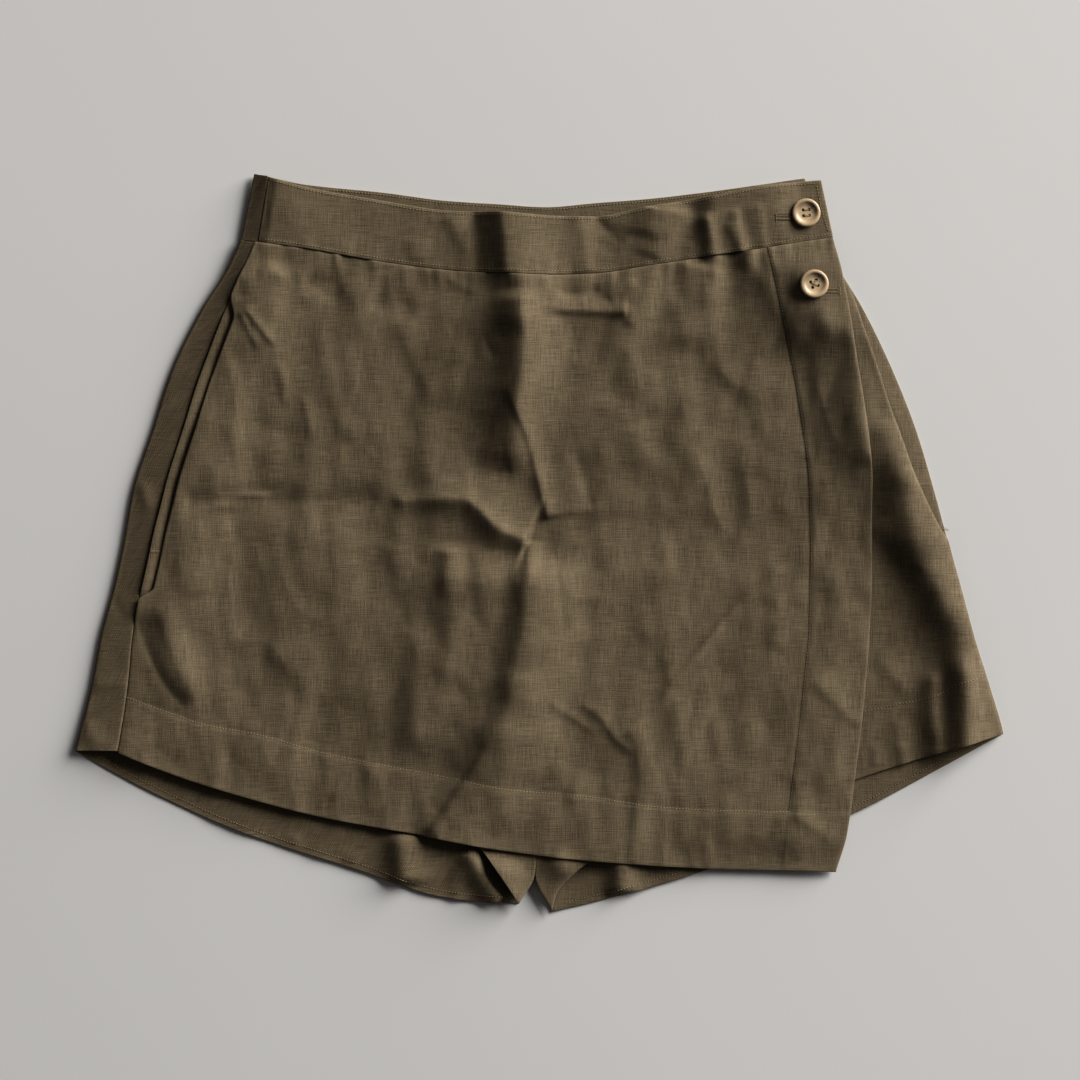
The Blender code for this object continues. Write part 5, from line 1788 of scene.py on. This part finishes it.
def buttonhole(name, left, right, level, top_of):
    """Two rows of close stitches with a slit between them and a bar at either end."""
    paths = []
    for across in np.arange(left, right, STRAND_PITCH):
        for side in (1, -1):
            inner, outer = level + SLIT_HALF * side, level + BUTTONHOLE_HALF * side
            paths.append(strand((across, inner), (across, outer), top_of))
    for end in (left - 1.0, right):
        for shift in np.arange(-2.4, 2.5, STRAND_PITCH):
            paths.append(strand((end, level + shift), (end + 1.1, level + shift), top_of))
    return tubes(name, paths, STRAND_RADIUS, THREAD_FINISHES[:1], 6)


def painted_shade_strip(name, left, right, low, high, top_of):
    """A strip of painted shade under the stitches, where the needle has drawn the cloth in."""
    across = np.linspace(left, right, 14)
    points = [
        (x, level, float(top_of(np.array(x), np.array(level))) + 0.05)
        for level in (high, low)
        for x in across
    ]
    return make_object(name, points, grid_faces(2, 14), THREAD_FINISHES[1:])


def bar_tack(name, start, end, top_of):
    """Close stitches across a short line, which hold the end of a pocket's mouth."""
    start, end = np.array(start), np.array(end)
    whole = float(np.hypot(*(end - start)))
    run = (end - start) / whole
    aside = 0.8 * np.array([-run[1], run[0]])
    paths = [
        strand(start + run * place - aside, start + run * place + aside, top_of)
        for place in np.arange(0, whole, STRAND_PITCH)
    ]
    return tubes(name, paths, STRAND_RADIUS, THREAD_FINISHES[:1], 6)


small_parts = [
    buttonhole("stitches_buttonhole_top", 152.0, 172.0, 208.0, band_top),
    # The two dark strips beside the top buttonhole are painted shade under its stitches.
    painted_shade_strip("shade_buttonhole_top_upper", 151.0, 172.0, 208.8, 210.0, band_top),
    painted_shade_strip("shade_buttonhole_top_lower", 151.0, 172.0, 206.0, 207.2, band_top),
    buttonhole("stitches_buttonhole_bottom", 171.0, 191.0, 160.8, wrap_top),
    bar_tack("stitches_tack_left", (-248.0, -5.5), (-242.5, -5.5), left_facing_top),
    bar_tack("stitches_tack_right", (258.6, 9.5), (261.5, 8.0), front_top),
]
for piece in small_parts:
    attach(piece, "root")
print("buttonholes and tacks:", len(small_parts), "parts")

# %% Sew both buttons on
HOLES = [(HOLE_OFFSET * x, HOLE_OFFSET * y) for x, y in ((1, 1), (-1, 1), (-1, -1), (1, -1))]
THREAD_PAIRS = {"button_top": ((0, 1), (3, 2)), "button_bottom": ((0, 2), (1, 3))}
STRANDS = (-0.2, 0.2)
# The horn's darker side is turned towards the light. There the dish's inner wall lies in shade, so
# the darkening is partly painted shade and partly smoke in the horn.
SMOKY_SHADED_SIDE = 48.0  # degrees by which the horn's smoky side is turned


def button_thread(name, pairs, seat):
    """Strands from hole to hole, resting on the dished middle."""
    face = seat + BUTTON_THICKNESS * 0.6
    paths = []
    for number, (start, end) in enumerate(pairs):
        first, last = np.array(HOLES[start]), np.array(HOLES[end])
        run = (last - first) / np.linalg.norm(last - first)
        aside = np.array([-run[1], run[0]])
        for strand in STRANDS:
            line = []
            for part in np.linspace(-0.06, 1.06, 15):
                spot = first + part * (last - first) + strand * aside
                dive = 1.6 * max(0.0, abs(part - 0.5) - 0.42) / 0.14
                high = face + 0.3 + 0.28 * number * math.sin(math.pi * min(max(part, 0), 1)) - dive
                line.append((spot[0], spot[1], high))
            paths.append(line)
    return tubes(name, paths, 0.15, [PALE_THREAD])


def seat_height(place, top_of):
    """Height at which a button rests on the cloth's upper side."""
    turns = np.arange(16) * math.tau / 16
    reach = BUTTON_RADIUS * np.array([[0.0], [0.5], [0.85]])
    across = place[0] + reach * np.cos(turns)
    level = place[1] + reach * np.sin(turns)
    return float(top_of(across, level).max())


section = [
    (radius * BUTTON_RADIUS, height * BUTTON_THICKNESS) for radius, height in BUTTON_SECTION
]
for name, place in BUTTON_PLACES.items():
    rest = seat_height(place, band_top if name == "button_top" else wrap_top)
    finish = horn_material(f"horn_{name}", SMOKY_SHADED_SIDE)
    button = turned_body(f"horn_{name}_body", section, BUTTON_SIDES, finish)
    drill(button, HOLES)
    thread = button_thread(f"thread_{name}", THREAD_PAIRS[name], 0.0)
    for piece in (button, thread):
        piece.location = (place[0] * METRES, place[1] * METRES, rest * METRES)
        piece.rotation_euler = (0.0, 0.0, math.radians(BUTTON_TURN[name]))
        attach(piece, "root")
    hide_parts(name)
    print(name, "lies", round(rest, 1), "mm up")

# %% [markdown]
#
# The garment lies on a pale table. Turned hems, facings and seam allowances are hidden under
# the faces of cloth that show.

# %% Table
def table_material():
    nodes = Nodes("table_top")
    place = nodes.add("ShaderNodeTexCoord").outputs["Object"]
    clouds = nodes.noise(place, (2.0, 2.0, 2.0), 3.0)
    colour = nodes.mix(clouds, (0.545, 0.548, 0.552, 1), (0.575, 0.578, 0.582, 1))
    nodes.bump(nodes.noise(place, (400.0, 400.0, 400.0), 2.0), 0.05, 0.0002)
    return nodes.surface(Base_Color=colour, Roughness=0.7)


TABLE_HALF = 3000.0
corners = [(x * TABLE_HALF, y * TABLE_HALF, 0) for x, y in ((-1, -1), (1, -1), (1, 1), (-1, 1))]
table = make_object("table", corners, [(0, 1, 2, 3)], [table_material()])
table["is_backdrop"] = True

# %% [markdown]
# ## Light
#
# The picture was lit by one large soft light that stood low on the right, with a pale room
# around it. A low light makes faint creases show. It is an area lamp at a small angle above
# the table, and the room is an even, pale world.

# %% A low soft window and a pale room
LIGHT_TURN = 36.0  # degrees from the right towards the top of the picture
LIGHT_HEIGHT = 23.0  # degrees above the table
LIGHT_DISTANCE = 9.0
LIGHT_SIZE = 6.0
LIGHT_POWER = 1530.0


def area_light(name, turn, height, distance, size, power, colour):
    lamp = bpy.data.lights.new(name, "AREA")
    lamp.shape = "SQUARE"
    lamp.size = size
    lamp.energy = power
    lamp.color = colour
    made = bpy.data.objects.new(name, lamp)
    turn, height = math.radians(turn), math.radians(height)
    made.location = (
        distance * math.cos(height) * math.cos(turn),
        distance * math.cos(height) * math.sin(turn),
        distance * math.sin(height),
    )
    made.rotation_euler = (math.pi / 2 - height, 0.0, math.pi / 2 + turn)
    bpy.context.scene.collection.objects.link(made)


area_light(
    "window", LIGHT_TURN, LIGHT_HEIGHT, LIGHT_DISTANCE, LIGHT_SIZE, LIGHT_POWER, (1.0, 0.97, 0.93)
)
world = bpy.data.worlds.new("pale_room")
world.use_nodes = True
background = world.node_tree.nodes["Background"]
background.inputs["Color"].default_value = (1.0, 0.98, 0.955, 1.0)
background.inputs["Strength"].default_value = 0.10
bpy.context.scene.world = world
bpy.context.scene.view_settings.view_transform = "Standard"
bpy.context.scene.view_settings.look = "High Contrast"

# %% [markdown]
# ## Sizes
#
# The sizes of the dressed garment and of the imported model are printed side by side. The
# dressed garment must keep the imported model's size.

# %% Both boxes
visual_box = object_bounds()
boxes = {
    "cad": [list(corner) for corner in cad_box],
    "visual": [list(corner) for corner in visual_box],
}
for name, (low, high) in boxes.items():
    print(name, [round((high[axis] - low[axis]) / METRES, 1) for axis in range(3)], "mm")
